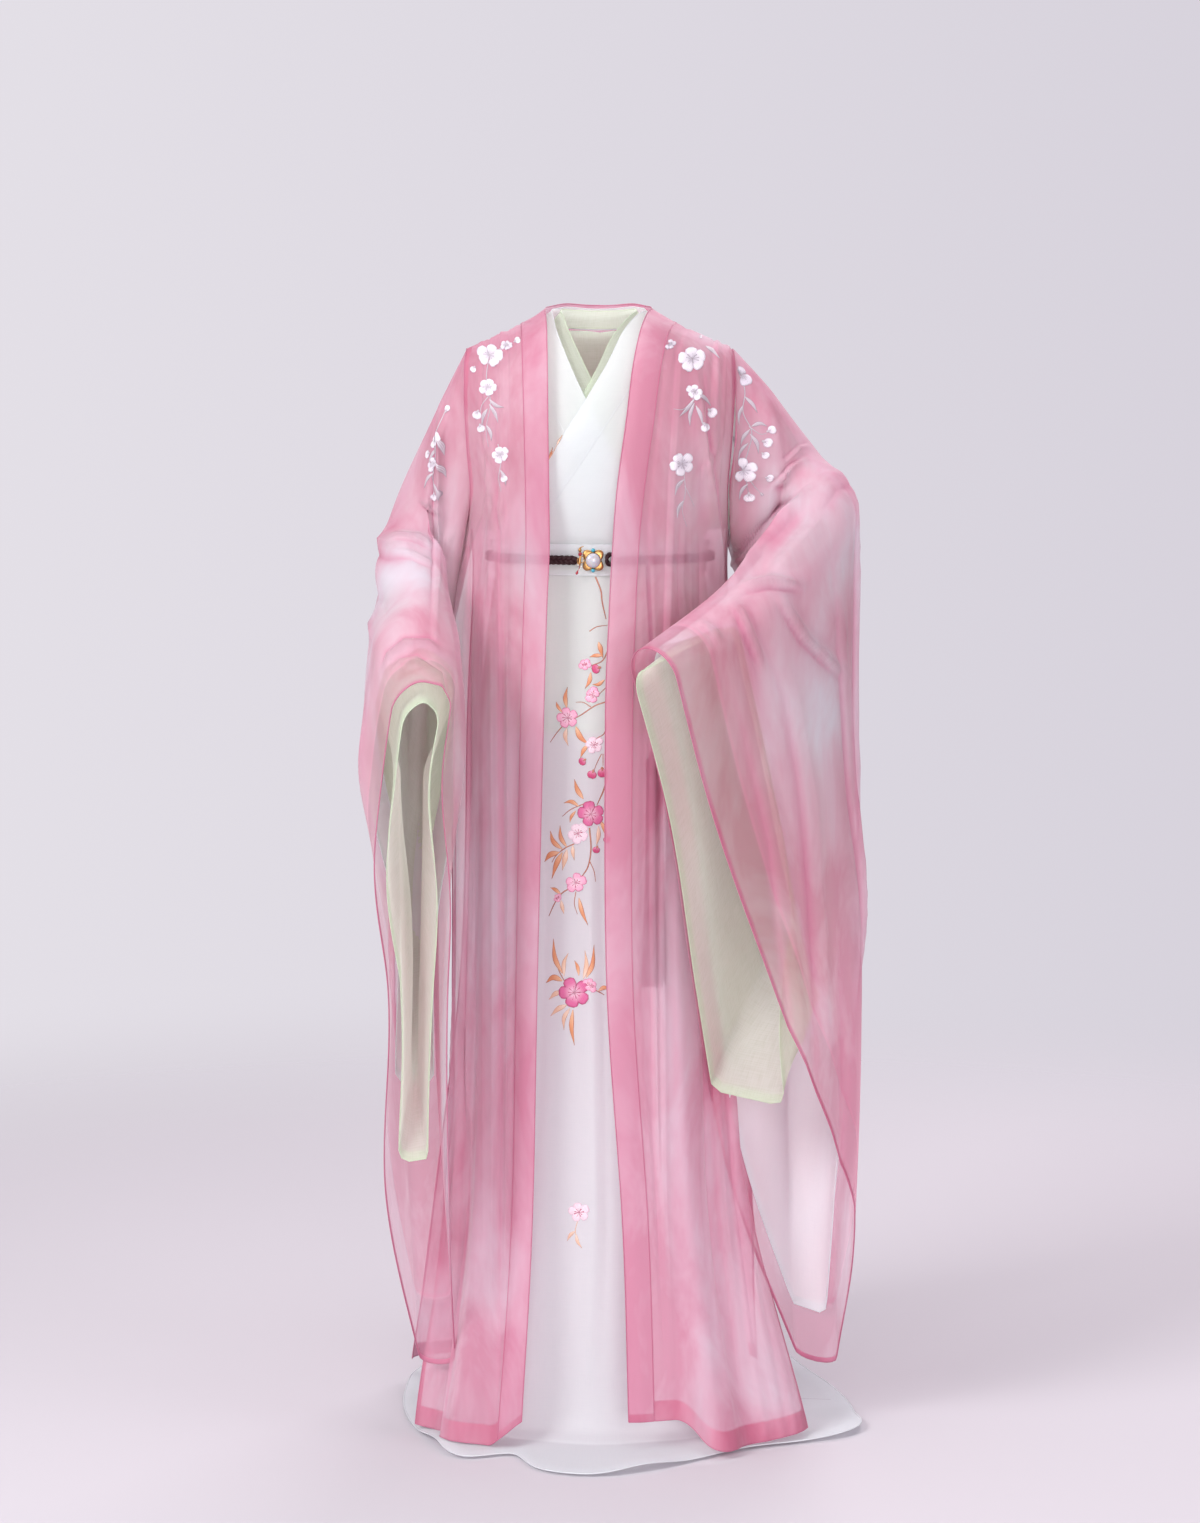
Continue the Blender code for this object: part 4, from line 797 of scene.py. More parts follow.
def outer_fold(side, row, angle):
    """How far the outer robe's vertical folds carry it out."""
    degrees = np.abs(np.degrees(angle))
    total = np.zeros_like(degrees)
    for centre, width, depth, top in LEFT_FRONT_FOLDS if side > 0 else RIGHT_FRONT_FOLDS:
        grown = smooth_step((row - top) / (20 - top)) ** 0.8
        total = total + depth * grown * np.exp(-(((degrees - centre) / width) ** 2))
    for centre, width, depth, top in BACK_FOLDS:
        grown = smooth_step((top - row) / top) ** 0.8
        total = total + depth * grown * np.exp(-(((degrees - centre) / width) ** 2))
    return total


def hem_fall(row, angle):
    """How the outer robe's front hem drops below its free corner and slides forwards over the floor."""
    away = smooth_step((np.abs(np.degrees(angle)) - HEM_FALL_FROM) / HEM_FALL_OVER)
    forwards = np.where(angle > 0, HEM_SPILL_LEFT, HEM_SPILL_RIGHT) * away * smooth_step((row - 19.2) / 0.8)
    return np.stack([0 * away, -forwards, -HEM_FALL * away * smooth_step(row - 19)], axis=-1)


outer = Robe(
    "outer", OUTER, OUTER_RIDGE, OUTER_NECK, {1: OUTER_LEFT_EDGE, -1: OUTER_RIGHT_EDGE},
    lambda side, row, angle: 0 * row, outer_fold, hem_fall,
)
robe = Robe(
    "robe", FIGURE, RIDGE, ROBE_NECK, {1: ROBE_LEFT_EDGE, -1: ROBE_RIGHT_EDGE},
    crossing_offset(ROBE_OFFSET, CROSSING),
)
under = Robe(
    "under", FIGURE, RIDGE, UNDER_NECK, {1: UNDER_LEFT_EDGE, -1: UNDER_RIGHT_EDGE},
    crossing_offset(UNDER_OFFSET, UNDER_CROSSING),
)
print([made.name for made in (outer, robe, under)])

# %% [markdown]
# ## The great sleeves
#
# A great sleeve is a deep bag of cloth that hangs from the arm. Its shape is a family of hanging loops,
# from the armhole to the cuff, each one going down the outer side and up the inner side. The three robes'
# sleeves come from one family, each further in, so they nest as worn sleeves do.

# %% Sleeve
LOOP_KNOTS = np.array([0.0, 0.2, 0.45, 0.75, 1.0])  # shares of the depth where a station gives its widths
ARMHOLE_BLEND = 0.9  # the part of the first station over which the armhole turns into a loop
DROOP_REACH = 0.11
PINCH_AT, PINCH_OVER = 4.5, 0.33  # stations


class Sleeve:
    """A great sleeve: a family of hanging loops from the outer robe's armhole to the cuff."""

    def __init__(self, side, stations, outer, mouth):
        self.side, self.stations, self.outer, self.mouth = side, stations, outer, mouth[:4]
        self.set_back, self.droop, self.pinch, self.taper = mouth[4:]

    def across(self, u, share):
        """(middle, half vector towards the outer side) of the outer sleeve's loop, at shares of its depth."""
        clipped = min(u, len(self.stations) - 1.0)
        if u > clipped:
            end, before = self.across(clipped, share), self.across(clipped - 0.2, share)
            return [e + (e - b) * (u - clipped) * 5 for e, b in zip(end, before)]
        station = along_table(self.stations, clipped)
        top, foot, depth = station[0:3], station[3:6], np.linalg.norm(station[3:6] - station[0:3])
        middle = top + (foot - top) * share[:, None]
        shifts = np.array([[0.0], [station[13]], [station[14]], [station[15]], [0.0]])
        middle[:, 0] += along_table(shifts, share, LOOP_KNOTS)[:, 0]
        middle[:, 1] += station[16] * np.sin(np.pi * np.clip(share, 0, 1) ** 2)
        middle[:, 2] -= self.droop * smooth_step(u - 4) * np.exp(-((share / DROOP_REACH) ** 2))
        cap = station[8]
        widths = np.array([[cap], [station[9]], [station[10]], [station[11]], [station[12]]])
        width = along_table(widths, share, LOOP_KNOTS)[:, 0]
        top_round = 1 - np.clip(share * depth / cap, 0, 1)
        foot_round = 1 - np.clip((1 - share) * depth / (0.035 - 0.023 * smooth_step(u - 3.8)), 0, 1)
        width = width * np.sqrt((1 - top_round**2) * (1 - foot_round**2))
        mouth = self.mouth[0] * smooth_step((u - self.mouth[1]) / 0.7)
        width = width * (1 - mouth * np.exp(-(((share - self.mouth[2]) / self.mouth[3]) ** 2)))
        facing = np.radians(station[6] + (station[7] - station[6]) * smooth_step((share - 0.30) / 0.55))
        out = np.stack([np.cos(facing), np.sin(facing), 0 * facing], axis=-1)
        back, front = self.outer.armhole_edge(self.side, share)
        blend = smooth_step(u / ARMHOLE_BLEND)
        middle = (back + front) / 2 * (1 - blend) + middle * blend
        return middle, (back - front) / 2 * (1 - blend) + out * width[:, None] * blend

    def loop(self, u, shares, layer):
        """One layer's loop: from the top down its outer side, then up its inner side."""
        layers_in, armhole_share, cuff_share, cuff_station, cuff_reach = layer
        looser = 1.2 * (1 - smooth_step(u)) + 0.8 * math.exp(-(((u - 2) / 0.7) ** 2))
        inset = layers_in * SLEEVE_LAYER * (1 + looser)
        station = along_table(self.stations, min(u, len(self.stations) - 1.0))
        depth = np.linalg.norm(station[3:6] - station[0:3])
        if u < ARMHOLE_BLEND:
            ring = np.concatenate(self.outer.armhole_edge(self.side, np.array([0.0, 1.0])))
            depth = min(depth, np.ptp(ring[:, 2]))
        bottom = armhole_share + (cuff_share - armhole_share) * smooth_step(u / cuff_station)
        a, b = 1.6 * inset / depth, bottom - 1.2 * inset / depth
        shares = shares ** (1 + (TOP_CROWDING - 1) * smooth_step(u / 1.6))
        share = a + (b - a) * shares
        middle, half = self.across(u, share)
        outer_side = inner_side = np.ones_like(share)
        if layers_in:
            thick = np.maximum(np.linalg.norm(half, axis=-1), 1e-6)
            top_round = 1 - np.clip((share - a) * depth / 0.040, 0, 1)
            foot_round = 1 - np.clip((b - share) * depth / (0.030 - 0.018 * smooth_step(u - 3.8)), 0, 1)
            rounding = np.sqrt((1 - top_round**2) * (1 - foot_round**2))
            inner_side = np.maximum(thick - inset, 0) / thick * rounding
            low = smooth_step((share - 0.15) / 0.4) * smooth_step((u - 3) / 2)
            outer_side = inner_side * (1 - (1 - cuff_reach) * low)
        if layers_in == 2:
            pinched = math.exp(-(((u - PINCH_AT) / PINCH_OVER) ** 2))
            pinch = self.pinch * pinched * smooth_step((share - 0.10) / 0.12)
            taper = self.taper * smooth_step(u - 3.6) * smooth_step((share - 0.26) / (b - 0.26))
            outer_side = outer_side * (1 - pinch) * (1 - 0.4 * taper)
            inner_side = inner_side * (1 - pinch) * (1 - taper)
        inner = middle - half * inner_side[:, None]
        return np.concatenate([middle + half * outer_side[:, None], inner[-2:0:-1]])

    def grid(self, own_robe, shares, stations, layer):
        """The grid of a layer, sewn to its own robe's armhole."""
        own_back, own_front = own_robe.armhole_edge(self.side, shares)
        own = np.concatenate([own_back, own_front[-2:0:-1]])
        loops = [self.loop(u, shares, layer) for u in stations]
        outer_part = smooth_step(shares / 0.10) * (1 - smooth_step((shares - 0.80) / 0.20))
        set_back = self.set_back[layer[0]] * np.concatenate([outer_part, 0 * shares[-2:0:-1]])
        rows = np.arange(len(loops))[:, None] * (1 - set_back)
        low = np.clip(rows.astype(int), 0, len(loops) - 2)
        part = (rows - low)[..., None]
        column = np.arange(len(set_back))[None, :]
        loops = np.array(loops)
        loops = list(loops[low, column] * (1 - part) + loops[low + 1, column] * part)
        if own_robe is self.outer:
            loops[0] = own
        else:
            loops = [own + (loops[0] - own) * smooth_step(t) for t in np.linspace(0, 1, 7)[:-1]] + loops
        return np.array(loops) if self.side > 0 else np.array(loops)[:, ::-1]


sleeves = {1: Sleeve(1, LEFT_SLEEVE, outer, LEFT_MOUTH), -1: Sleeve(-1, RIGHT_SLEEVE, outer, RIGHT_MOUTH)}
print("sleeve stations", len(LEFT_SLEEVE))

# %% [markdown]
# ## The pink robe
#
# Where the dye stayed pale is set first, as soft clouds in space, so a cloud runs on from a sleeve's front
# to its back. Then the two halves of the body, their bands and the two sleeves are made, with the folds
# drawn on.

# %% Dye clouds and folds
CLOUDS += [  # x, y, height, reach across, reach down, strength
    (-0.272, -0.1, 1.17, 0.07, 0.09, 0.62), (-0.3, -0.1, 0.93, 0.07, 0.13, 0.85),
    (-0.15, -0.3, 0.96, 0.06, 0.09, 0.45), (-0.15, -0.13, 0.8, 0.055, 0.2, 0.4),
    (-0.09, -0.15, 1.2, 0.04, 0.15, 0.35), (-0.07, -0.18, 0.55, 0.035, 0.22, 0.35),
    (-0.13, -0.2, 0.3, 0.04, 0.12, 0.45), (-0.19, -0.22, 0.3, 0.05, 0.14, 0.55),
    (-0.06, -0.2, 0.16, 0.04, 0.08, 0.4), (0.13, -0.13, 1.28, 0.05, 0.09, 0.45),
    (0.235, 0, 1.22, 0.09, 0.11, 0.65), (0.305, -0.05, 1.19, 0.06, 0.07, 0.75),
    (0.265, -0.12, 0.98, 0.095, 0.08, 0.75), (0.3, -0.08, 0.78, 0.06, 0.1, 0.55),
    (0.215, -0.16, 0.88, 0.06, 0.12, 0.62), (0.16, -0.15, 0.9, 0.05, 0.16, 0.4),
    (0.11, -0.18, 0.62, 0.045, 0.18, 0.3), (0.085, -0.2, 0.36, 0.04, 0.12, 0.24),
    (0.15, -0.2, 0.26, 0.05, 0.12, 0.14), (0.3, -0.1, 0.3, 0.08, 0.16, 0.14),
    (0.18, -0.22, 0.14, 0.05, 0.08, 0.1), (-0.1, 0.15, 1.18, 0.08, 0.16, 0.55),
    (0.07, 0.17, 0.85, 0.07, 0.18, 0.6), (-0.06, 0.2, 0.45, 0.08, 0.16, 0.55),
    (0.15, 0.22, 0.3, 0.09, 0.14, 0.5), (-0.26, 0.08, 0.7, 0.09, 0.16, 0.6),
    (0.29, 0.06, 0.6, 0.08, 0.16, 0.6), (0.11, -0.2, 0.18, 0.08, 0.17, -0.32),
    (-0.11, -0.2, 0.2, 0.06, 0.15, -0.22), (0.3, -0.1, 0.46, 0.06, 0.15, -0.22),
]
# under the view that shows each: half width, height and the points of the ridge, all in millimetres
BODY_FOLDS = {  # the wearer's left front and right front: from the shoulder, the waist and the hem
    1: {
        "front": (
            (8, 8.5, (168, 1130), (153, 1222), (137, 1338), (124, 1450)),
            (7, 5, (108, 1455), (98, 1300), (90, 1050), (84, 700), (88, 350), (100, 80)),
            (12, 7, (150, 80), (128, 360), (120, 700), (119, 1000), (118, 1220), (124, 1360)),
            (10, 6.5, (140, 1150), (141, 900), (150, 600), (168, 320), (196, 80)),
            (6, 4, (68, 1240), (72, 1100), (72, 730), (76, 450), (92, 100)),
            (12, 8, (166, 1020), (172, 620), (192, 340), (226, 80)),
            (5, 3.5, (160, 1350), (148, 1310), (126, 1275)), (5, 3, (112, 1240), (108, 1160), (112, 1060)),
        ),
        "left": (
            (16, 8, (-60, 900), (-40, 600), (-50, 300), (-60, 100)),
        ),
    },
    -1: {
        "front": (
            (8, 6, (-176, 1400), (-172, 1272), (-164, 1154), (-164, 900), (-172, 500), (-190, 80)),
            (9, 6.5, (-146, 80), (-144, 400), (-142, 800), (-144, 1150), (-150, 1400)),
            (6, 4.5, (-118, 1455), (-120, 1280), (-122, 1050), (-122, 700), (-126, 300), (-130, 80)),
            (11, 7.5, (-182, 1000), (-184, 600), (-200, 260), (-222, 60)),
            (5, 3, (-132, 1350), (-128, 1200), (-130, 1040)),
            (5, 3.5, (-160, 1350), (-140, 1305), (-120, 1272)),
            (5, 3.5, (-158, 1300), (-136, 1250), (-122, 1200)),
        ),
        "right": (
            (16, 8, (-50, 900), (-60, 600), (-60, 300), (-80, 100)),
        ),
    },
}
BACK_FOLDS_DRAWN = (
    (12, 9, (100, 1440), (90, 1200), (84, 900), (90, 500), (110, 120)),
    (14, 10.5, (150, 1360), (142, 1100), (138, 800), (150, 420), (180, 100)),
    (12, 9, (40, 1380), (38, 1100), (42, 800), (50, 420), (60, 80)),
    (12, 9, (-112, 1430), (-100, 1180), (-96, 850), (-110, 450), (-140, 100)),
    (15, 10.5, (-156, 1340), (-148, 1080), (-150, 800), (-170, 400), (-210, 80)),
    (11, 9, (-50, 1360), (-46, 1120), (-52, 780), (-60, 400), (-76, 80)),
)
SLEEVE_FOLDS = {  # the elbow's creases, the long falls from them, and the side and back
    1: {
        "front": (
            (9, 15, (292, 1276), (271, 1261), (240, 1230), (192, 1176), (156, 1140)),
            (24, 9, (300, 1240), (270, 1210), (240, 1180), (205, 1160)),
            (8, 12, (170, 1140), (187, 1151), (220, 1156), (252, 1151), (276, 1142)),
            (7, 8, (167, 1139), (182, 1117), (197, 1080), (217, 1035)),
            (8, 10, (228, 1150), (248, 1113), (267, 1082), (301, 1048), (340, 1010)),
            (6, 5, (122, 1112), (146, 1096), (156, 1078)), (6, 6.5, (284, 1310), (259, 1298), (224, 1262)),
            (5, 4.5, (288, 1326), (268, 1322), (244, 1300)),
            (7, 8, (176, 1400), (178, 1268), (181, 1200), (178, 1140)),
            (16, 6, (214, 1120), (256, 1010), (282, 860), (296, 660), (302, 440)),
            (16, 5, (160, 1090), (196, 990), (236, 820), (262, 600), (276, 380)),
            (14, 5, (330, 700), (335, 500), (330, 300), (315, 150)),
        ),
        "left": (
            (14, 6, (-120, 1240), (-60, 1285), (0, 1290)),
            (14, 8, (-20, 1350), (-30, 1160), (-20, 940), (-10, 700)),
            (14, 9, (-100, 1180), (-80, 980), (-60, 740), (-50, 480)),
            (12, 7, (30, 1330), (36, 1150), (40, 980)),
        ),
        "back": (
            (12, 8, (214, 1380), (224, 1200), (226, 980)),
            (12, 8, (262, 1280), (270, 1060), (274, 800), (280, 500)),
            (9, 9, (210, 1180), (250, 1200), (290, 1170)),
        ),
    },
    -1: {
        "front": (
            (6, 7.5, (-288, 1200), (-270, 1206), (-241, 1206), (-212, 1192)),
            (5, 5, (-282, 1184), (-248, 1184), (-210, 1168)),
            (5, 5, (-244, 1256), (-219, 1239), (-208, 1226)),
            (6, 7, (-212, 1420), (-215, 1329), (-217, 1233), (-213, 1123), (-210, 1050)),
            (7, 8.5, (-200, 1062), (-222, 1078), (-250, 1078), (-270, 1062), (-280, 1034)),
            (5, 6, (-196, 1004), (-205, 1040), (-235, 1060), (-257, 1056), (-276, 1034)),
            (8, 6, (-306, 1000), (-310, 920), (-300, 820), (-286, 700)),
            (9, 5, (-180, 980), (-176, 820), (-182, 600), (-196, 400)),
        ),
        "right": (
            (16, 8, (-120, 1190), (-50, 1196), (40, 1204)),
            (30, -10, (-200, 1100), (-120, 1125), (0, 1130)),
            (12, 8, (-40, 1120), (-60, 980), (-70, 800), (-70, 600)),
            (12, 7, (-140, 1060), (-140, 900), (-120, 700), (-100, 420)),
            (12, 7, (20, 1160), (16, 1020), (6, 820)),
        ),
        "back": (
            (12, 8, (-206, 1360), (-212, 1160), (-214, 900)),
            (12, 8, (-250, 1160), (-252, 980), (-248, 740), (-244, 440)),
            (9, 9, (-290, 1190), (-250, 1205), (-205, 1180)),
        ),
    },
}
drawn = [rows for folds in (*BODY_FOLDS.values(), *SLEEVE_FOLDS.values()) for rows in folds.values()]
print(len(CLOUDS), "clouds,", sum(map(len, drawn)) + len(BACK_FOLDS_DRAWN), "folds")

# %% [markdown]
# The body's rows crowd together near the armhole, where its edge curves. The back's centre seam is a plain
# seam with its allowance turned inside. The side edges below the hips are slits, hemmed like the fronts.

# %% Pink body and bands
INSIDE = np.array([0.0, 0.0, 1.10])
outer_rows = [np.linspace(0, 5, 66), np.linspace(5, 15, 96), np.linspace(15, 20, 76)]
outer_rows = np.unique(np.concatenate(outer_rows))
for side, name in SIDES.items():
    grid = outer.half_body(side, outer_rows, 130)
    grid, crease_shade = folded(grid, {**BODY_FOLDS[side], "back": BACK_FOLDS_DRAWN}, INSIDE)
    grid, ripple_shade = hanging_waves(grid, 11 + side, 44, 0.0020, (0.004, 0.014), 0.02)
    # the fold and ripple valleys are painted a deeper rose, painted shade laid over the real doubled hems
    half = cloth(
        f"pink_body_{name}", grid, gauze, doubled=0.6 * crease_shade + 0.12 * ripple_shade,
        turned=(("foot", 0.026), ("top", 0.020), ("right" if side > 0 else "left", 0.007)),
        roll=0.0008, rolled=("foot", "top", "right" if side > 0 else "left"),
    )
    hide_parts(f"outer_body_{name}")
    front_rows = np.concatenate([np.linspace(20, 15, 70), np.linspace(15, 10, 60)[1:]])
    band_grid = outer.collar(side, front_rows)
    band_grid, ripple_shade = hanging_waves(band_grid, 31 + side, 16, 0.0010, (0.006, 0.012), 0.01)
    # the band's real doubling, with painted shade in its ripple valleys
    band = cloth(
        f"pink_band_{name}", band_grid, gauze, doubled=0.46 + 0.16 * ripple_shade,
        turned=(("foot", 0.010),), roll=0.0008, rolled=("foot", "left", "right"),
    )
    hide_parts(f"outer_collar_{name}")
    print(half.name, len(half.data.polygons), band.name, len(band.data.polygons))

# %% Pink sleeves
CUFF_STRIP = 4.66  # from this station to the hem the silk is a single, sheerer layer
shares = np.unique(np.concatenate([np.linspace(0, 1, 190), [0.9975, 0.999]]))
layers = {1: LEFT_LAYERS, -1: RIGHT_LAYERS}
stations = np.concatenate([np.linspace(0, 3, 95), np.linspace(3, 5, 95)[1:]])
for side, name in SIDES.items():
    grid = sleeves[side].grid(outer, shares, stations, layers[side]["outer"])
    grid, crease_shade = folded(grid, SLEEVE_FOLDS[side], grid.mean(axis=(0, 1)))
    past_seam = stations - CUFF_STRIP
    strip = 0.35 * np.exp(-((past_seam / 0.012) ** 2)) - 0.55 * smooth_step(past_seam / 0.03)
    # the fold valleys are painted a deeper rose as painted shade; the seam line and the sheerer single layer
    # at the cuff are the cloth's own
    sleeve = cloth(
        f"pink_sleeve_{name}", grid, gauze, closed=True, doubled=0.75 * crease_shade + strip[:, None],
        turned=(("foot", 0.006), ("top", 0.006)), roll=0.0010, rolled=("foot",),
    )
    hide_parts(f"outer_sleeve_{name}")
    print(sleeve.name, len(sleeve.data.polygons))

# %% [markdown]
# ## The white robe and the green under-robe
#
# Both inner robes lie close to the body. The white one crosses left over right, so its left front stands a
# few millimetres off. Their sleeves share the pink sleeves' folds, so no layer pushes through the next.

# %% White and green bodies, collars and sleeves
inner_rows = {"robe": np.linspace(2, 14, 110), "under": np.linspace(1, 16, 110)}
INNER_FOLDS = {
    "front": (
        (7, 1.8, (110, 1300), (70, 1250), (20, 1220)), (8, 1.6, (60, 1340), (30, 1270), (10, 1200)),
        (7, 1.4, (-120, 1320), (-80, 1260), (-40, 1230)),
    ),
}
for made, finish in ((robe, silk_cotton), (under, lawn)):
    for side, name in SIDES.items():
        rows = inner_rows[made.name]
        grid = made.half_body(side, rows, 44)
        grid = folded(grid, INNER_FOLDS if made is robe else {}, INSIDE)[0]
        body = cloth(
            f"{made.name}_half_{name}", grid, finish, turned=(("foot", 0.010), ("top", 0.010)),
            roll=0.0006, rolled=("foot", "top"),
        )
        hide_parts(f"{made.name}_body_{name}")
        front_rows = np.linspace(rows[-1], made.ridge, 90)
        collar = cloth(
            f"{made.name}_band_{name}", made.collar(side, front_rows), finish, doubled=1.0,
            roll=0.0006, rolled=("left", "right"),
        )
        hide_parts(f"{made.name}_collar_{name}")
        layer = layers[side][made.name]
        own_stations = np.append(stations[::2][stations[::2] < layer[3] - 0.01], layer[3])
        grid = sleeves[side].grid(made, shares[::2], own_stations, layer)
        grid = folded(grid, SLEEVE_FOLDS[side], grid.mean(axis=(0, 1)))[0]
        sleeve = cloth(
            f"{made.name}_arm_{name}", grid, finish, closed=True, turned=(("foot", 0.012),),
            roll=0.0007, rolled=("foot",),
        )
        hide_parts(f"{made.name}_sleeve_{name}")
        print(body.name, len(body.data.polygons), sleeve.name, len(sleeve.data.polygons))

# %% [markdown]
# ## The skirt and the waistband
#
# The skirt is two panels with side seams. It hangs nearly straight to below the knee, opens towards the
# floor and spills over it in a soft ring. The waistband is a straight strip, sewn on over the robe.

# %% Skirt and waistband
def skirt_point(row, turn):
    """A point of the skirt; turn goes from the front round the wearer's left, in radians."""
    row, turn = np.broadcast_arrays(np.asarray(row, float), np.asarray(turn, float))
    last = len(SKIRT) - 1
    height, left, right, front, back, wave = np.moveaxis(along_table(SKIRT, np.minimum(row, last)), -1, 0)
    seam_calm = 1 - np.exp(-((np.cos(turn) / 0.22) ** 2))
    ripple = np.cos(SKIRT_WAVES * turn + 0.6 * np.sin(2 * turn)) * seam_calm
    ripple = ripple * (1 - 0.55 * np.exp(-((turn / 0.7) ** 2)))
    half_width = np.where(np.sin(turn) >= 0, left, right) + wave * ripple
    depth = np.where(np.cos(turn) >= 0, front, back) + wave * ripple
    fallen = np.stack([half_width * np.sin(turn), -depth * np.cos(turn), height], axis=-1)
    hem = np.array(HEM, float)
    reach = along_table(hem[:, 1:], np.degrees(turn), hem[:, 0])[..., 0]
    lift = HEM_LIFT * np.maximum(0, np.sin(6 * turn + 0.4)) ** 2 * seam_calm
    lying = np.stack([reach * np.sin(turn), -reach * np.cos(turn), HEM_HEIGHT + lift], axis=-1)
    spread = np.clip(row - last, 0, 1)[..., None]
    return fallen * (1 - spread) + lying * spread


SKIRT_FOLDS = {
    "front": (
        (12, 2.2, (-10, 1060), (-14, 800), (-18, 500), (-26, 200), (-30, 50)),
        (14, 2.4, (36, 900), (34, 600), (40, 300), (54, 60)),
        (12, 4, (-130, 1000), (-150, 620), (-170, 300), (-190, 60)),
        (14, 5, (-90, 1000), (-100, 620), (-116, 300), (-130, 60)),
        (12, 4, (110, 1000), (120, 620), (134, 300), (156, 60)),
    ),
    "back": (
        (16, 6, (60, 1040), (66, 620), (80, 300), (110, 60)),
        (16, 6, (-70, 1040), (-76, 620), (-90, 300), (-120, 60)),
        (14, 5, (-4, 1020), (4, 620), (10, 300), (0, 60)),
    ),
}
skirt_rows = np.concatenate([np.linspace(0, 6, 90), np.linspace(6, 9, 60)[1:]])
for name, start in (("front", -90), ("back", 90)):
    turn = np.radians(np.linspace(start + 0.1, start + 179.9, 150))
    turn = (turn + np.pi) % (2 * np.pi) - np.pi
    grid = folded(skirt_point(skirt_rows[:, None], turn), SKIRT_FOLDS, INSIDE)[0]
    grid[..., 2] = np.maximum(grid[..., 2], 0.0022)
    panel = cloth(
        f"skirt_{name}", grid, silk_cotton, turned=(("foot", 0.022),), roll=0.0009, rolled=("foot",)
    )
    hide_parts(f"robe_skirt_{name}")
    print(panel.name, len(panel.data.polygons))


def waist_ring(height, offset, turn):
    """Points round the waist at a distance out from the figure."""
    depth = np.where(np.cos(turn) >= 0, WAIST_FRONT, WAIST_BACK) + offset
    width = WAIST_SIDE + offset
    return np.stack([width * np.sin(turn), -depth * np.cos(turn), np.full_like(turn, height)], axis=-1)


turn = np.radians(np.linspace(-180, 180, 181)[:-1])
rings = []
for share in np.linspace(0.5, -0.5, 15):
    flare = 0.0046 * smooth_step(share / 0.5)
    rings.append(waist_ring(WAIST_HEIGHT + WAISTBAND_TALL * share, WAISTBAND_OFFSET + flare, turn))
grid = np.array(rings)
grid[..., 1] += 0.0006 * np.sin(29 * turn + 4 * np.linspace(0, 1, 15)[:, None])
band = cloth("waist_band", grid, silk_cotton, closed=True, doubled=1.0, roll=0.0007, rolled=("top", "foot"))
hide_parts("robe_waistband")
print(band.name, len(band.data.polygons))

# %% [markdown]
# ## The belt
#
# The belt is a round plait of silk cord. Three strands cross over and under each other, and each is itself
# twisted from yarns. The strands here follow the plait's real path, and a fine spiral on each strand's own
# surface is the twist. The same tube tool draws the hanging cord, the charm's gilt curls and the tassel's
# threads.

# %% Tube tool
def tubes(name, runs, finish, around=10, twist=None):
    """One mesh of round tubes: runs are (points with heights above the floor, radius or radii).
    twist = (yarns, turn length, depth) presses a spiral of yarns into the surface."""
    points, faces, places = [], [], []
    start = 0
    for line, radius in runs:
        line = np.array(line, float)
        radius = np.broadcast_to(np.asarray(radius, float), len(line)).copy()
        ahead = np.gradient(line, axis=0)
        ahead /= np.linalg.norm(ahead, axis=1, keepdims=True)
        caps = line[:1] - ahead[:1] * radius[0] * 0.3, line[-1:] + ahead[-1:] * radius[-1] * 0.3
        line = np.concatenate([caps[0], line, caps[1]])
        ahead = np.concatenate([ahead[:1], ahead, ahead[-1:]])
        radius = np.concatenate([[radius[0] * 0.2], radius, [radius[-1] * 0.2]])
        side = np.cross(ahead[0], (0.2, 0.3, 0.93))
        sides = []
        for direction in ahead:  # the frame is carried along, so it never spins
            side = side - direction * (side @ direction)
            side /= np.linalg.norm(side)
            sides.append(side)
        sides = np.array(sides)
        ups = np.cross(ahead, sides)
        far = run_along(line)
        turn = np.linspace(0, 2 * math.pi, around, endpoint=False)[None, :]
        wide = radius[:, None] * np.ones_like(turn)
        if twist is not None:
            yarns, length, depth = twist
            spiral = yarns * turn - 2 * math.pi * yarns * far[:, None] / length
            wide = wide * (1 - depth + depth * np.abs(np.cos(spiral / 2)))
        reach = sides[:, None] * np.cos(turn)[..., None] + ups[:, None] * np.sin(turn)[..., None]
        ring = line[:, None] + wide[..., None] * reach
        girth = 2 * math.pi * radius.max() * np.linspace(0, 1, around + 1)
        new_faces, flat = grid_faces(start, girth, far, flip=True, joined=True)
        faces += new_faces
        places.append(flat)
        last_ring = start + (len(line) - 1) * around
        faces += [list(range(start, start + around))[::-1], list(range(last_ring, last_ring + around))]
        places.append(np.zeros((2 * around, 2)))
        points.append(ring.reshape(-1, 3))
        start += len(line) * around
    return new_piece(name, np.concatenate(points), faces, places, finish)


print("tube tool ready")

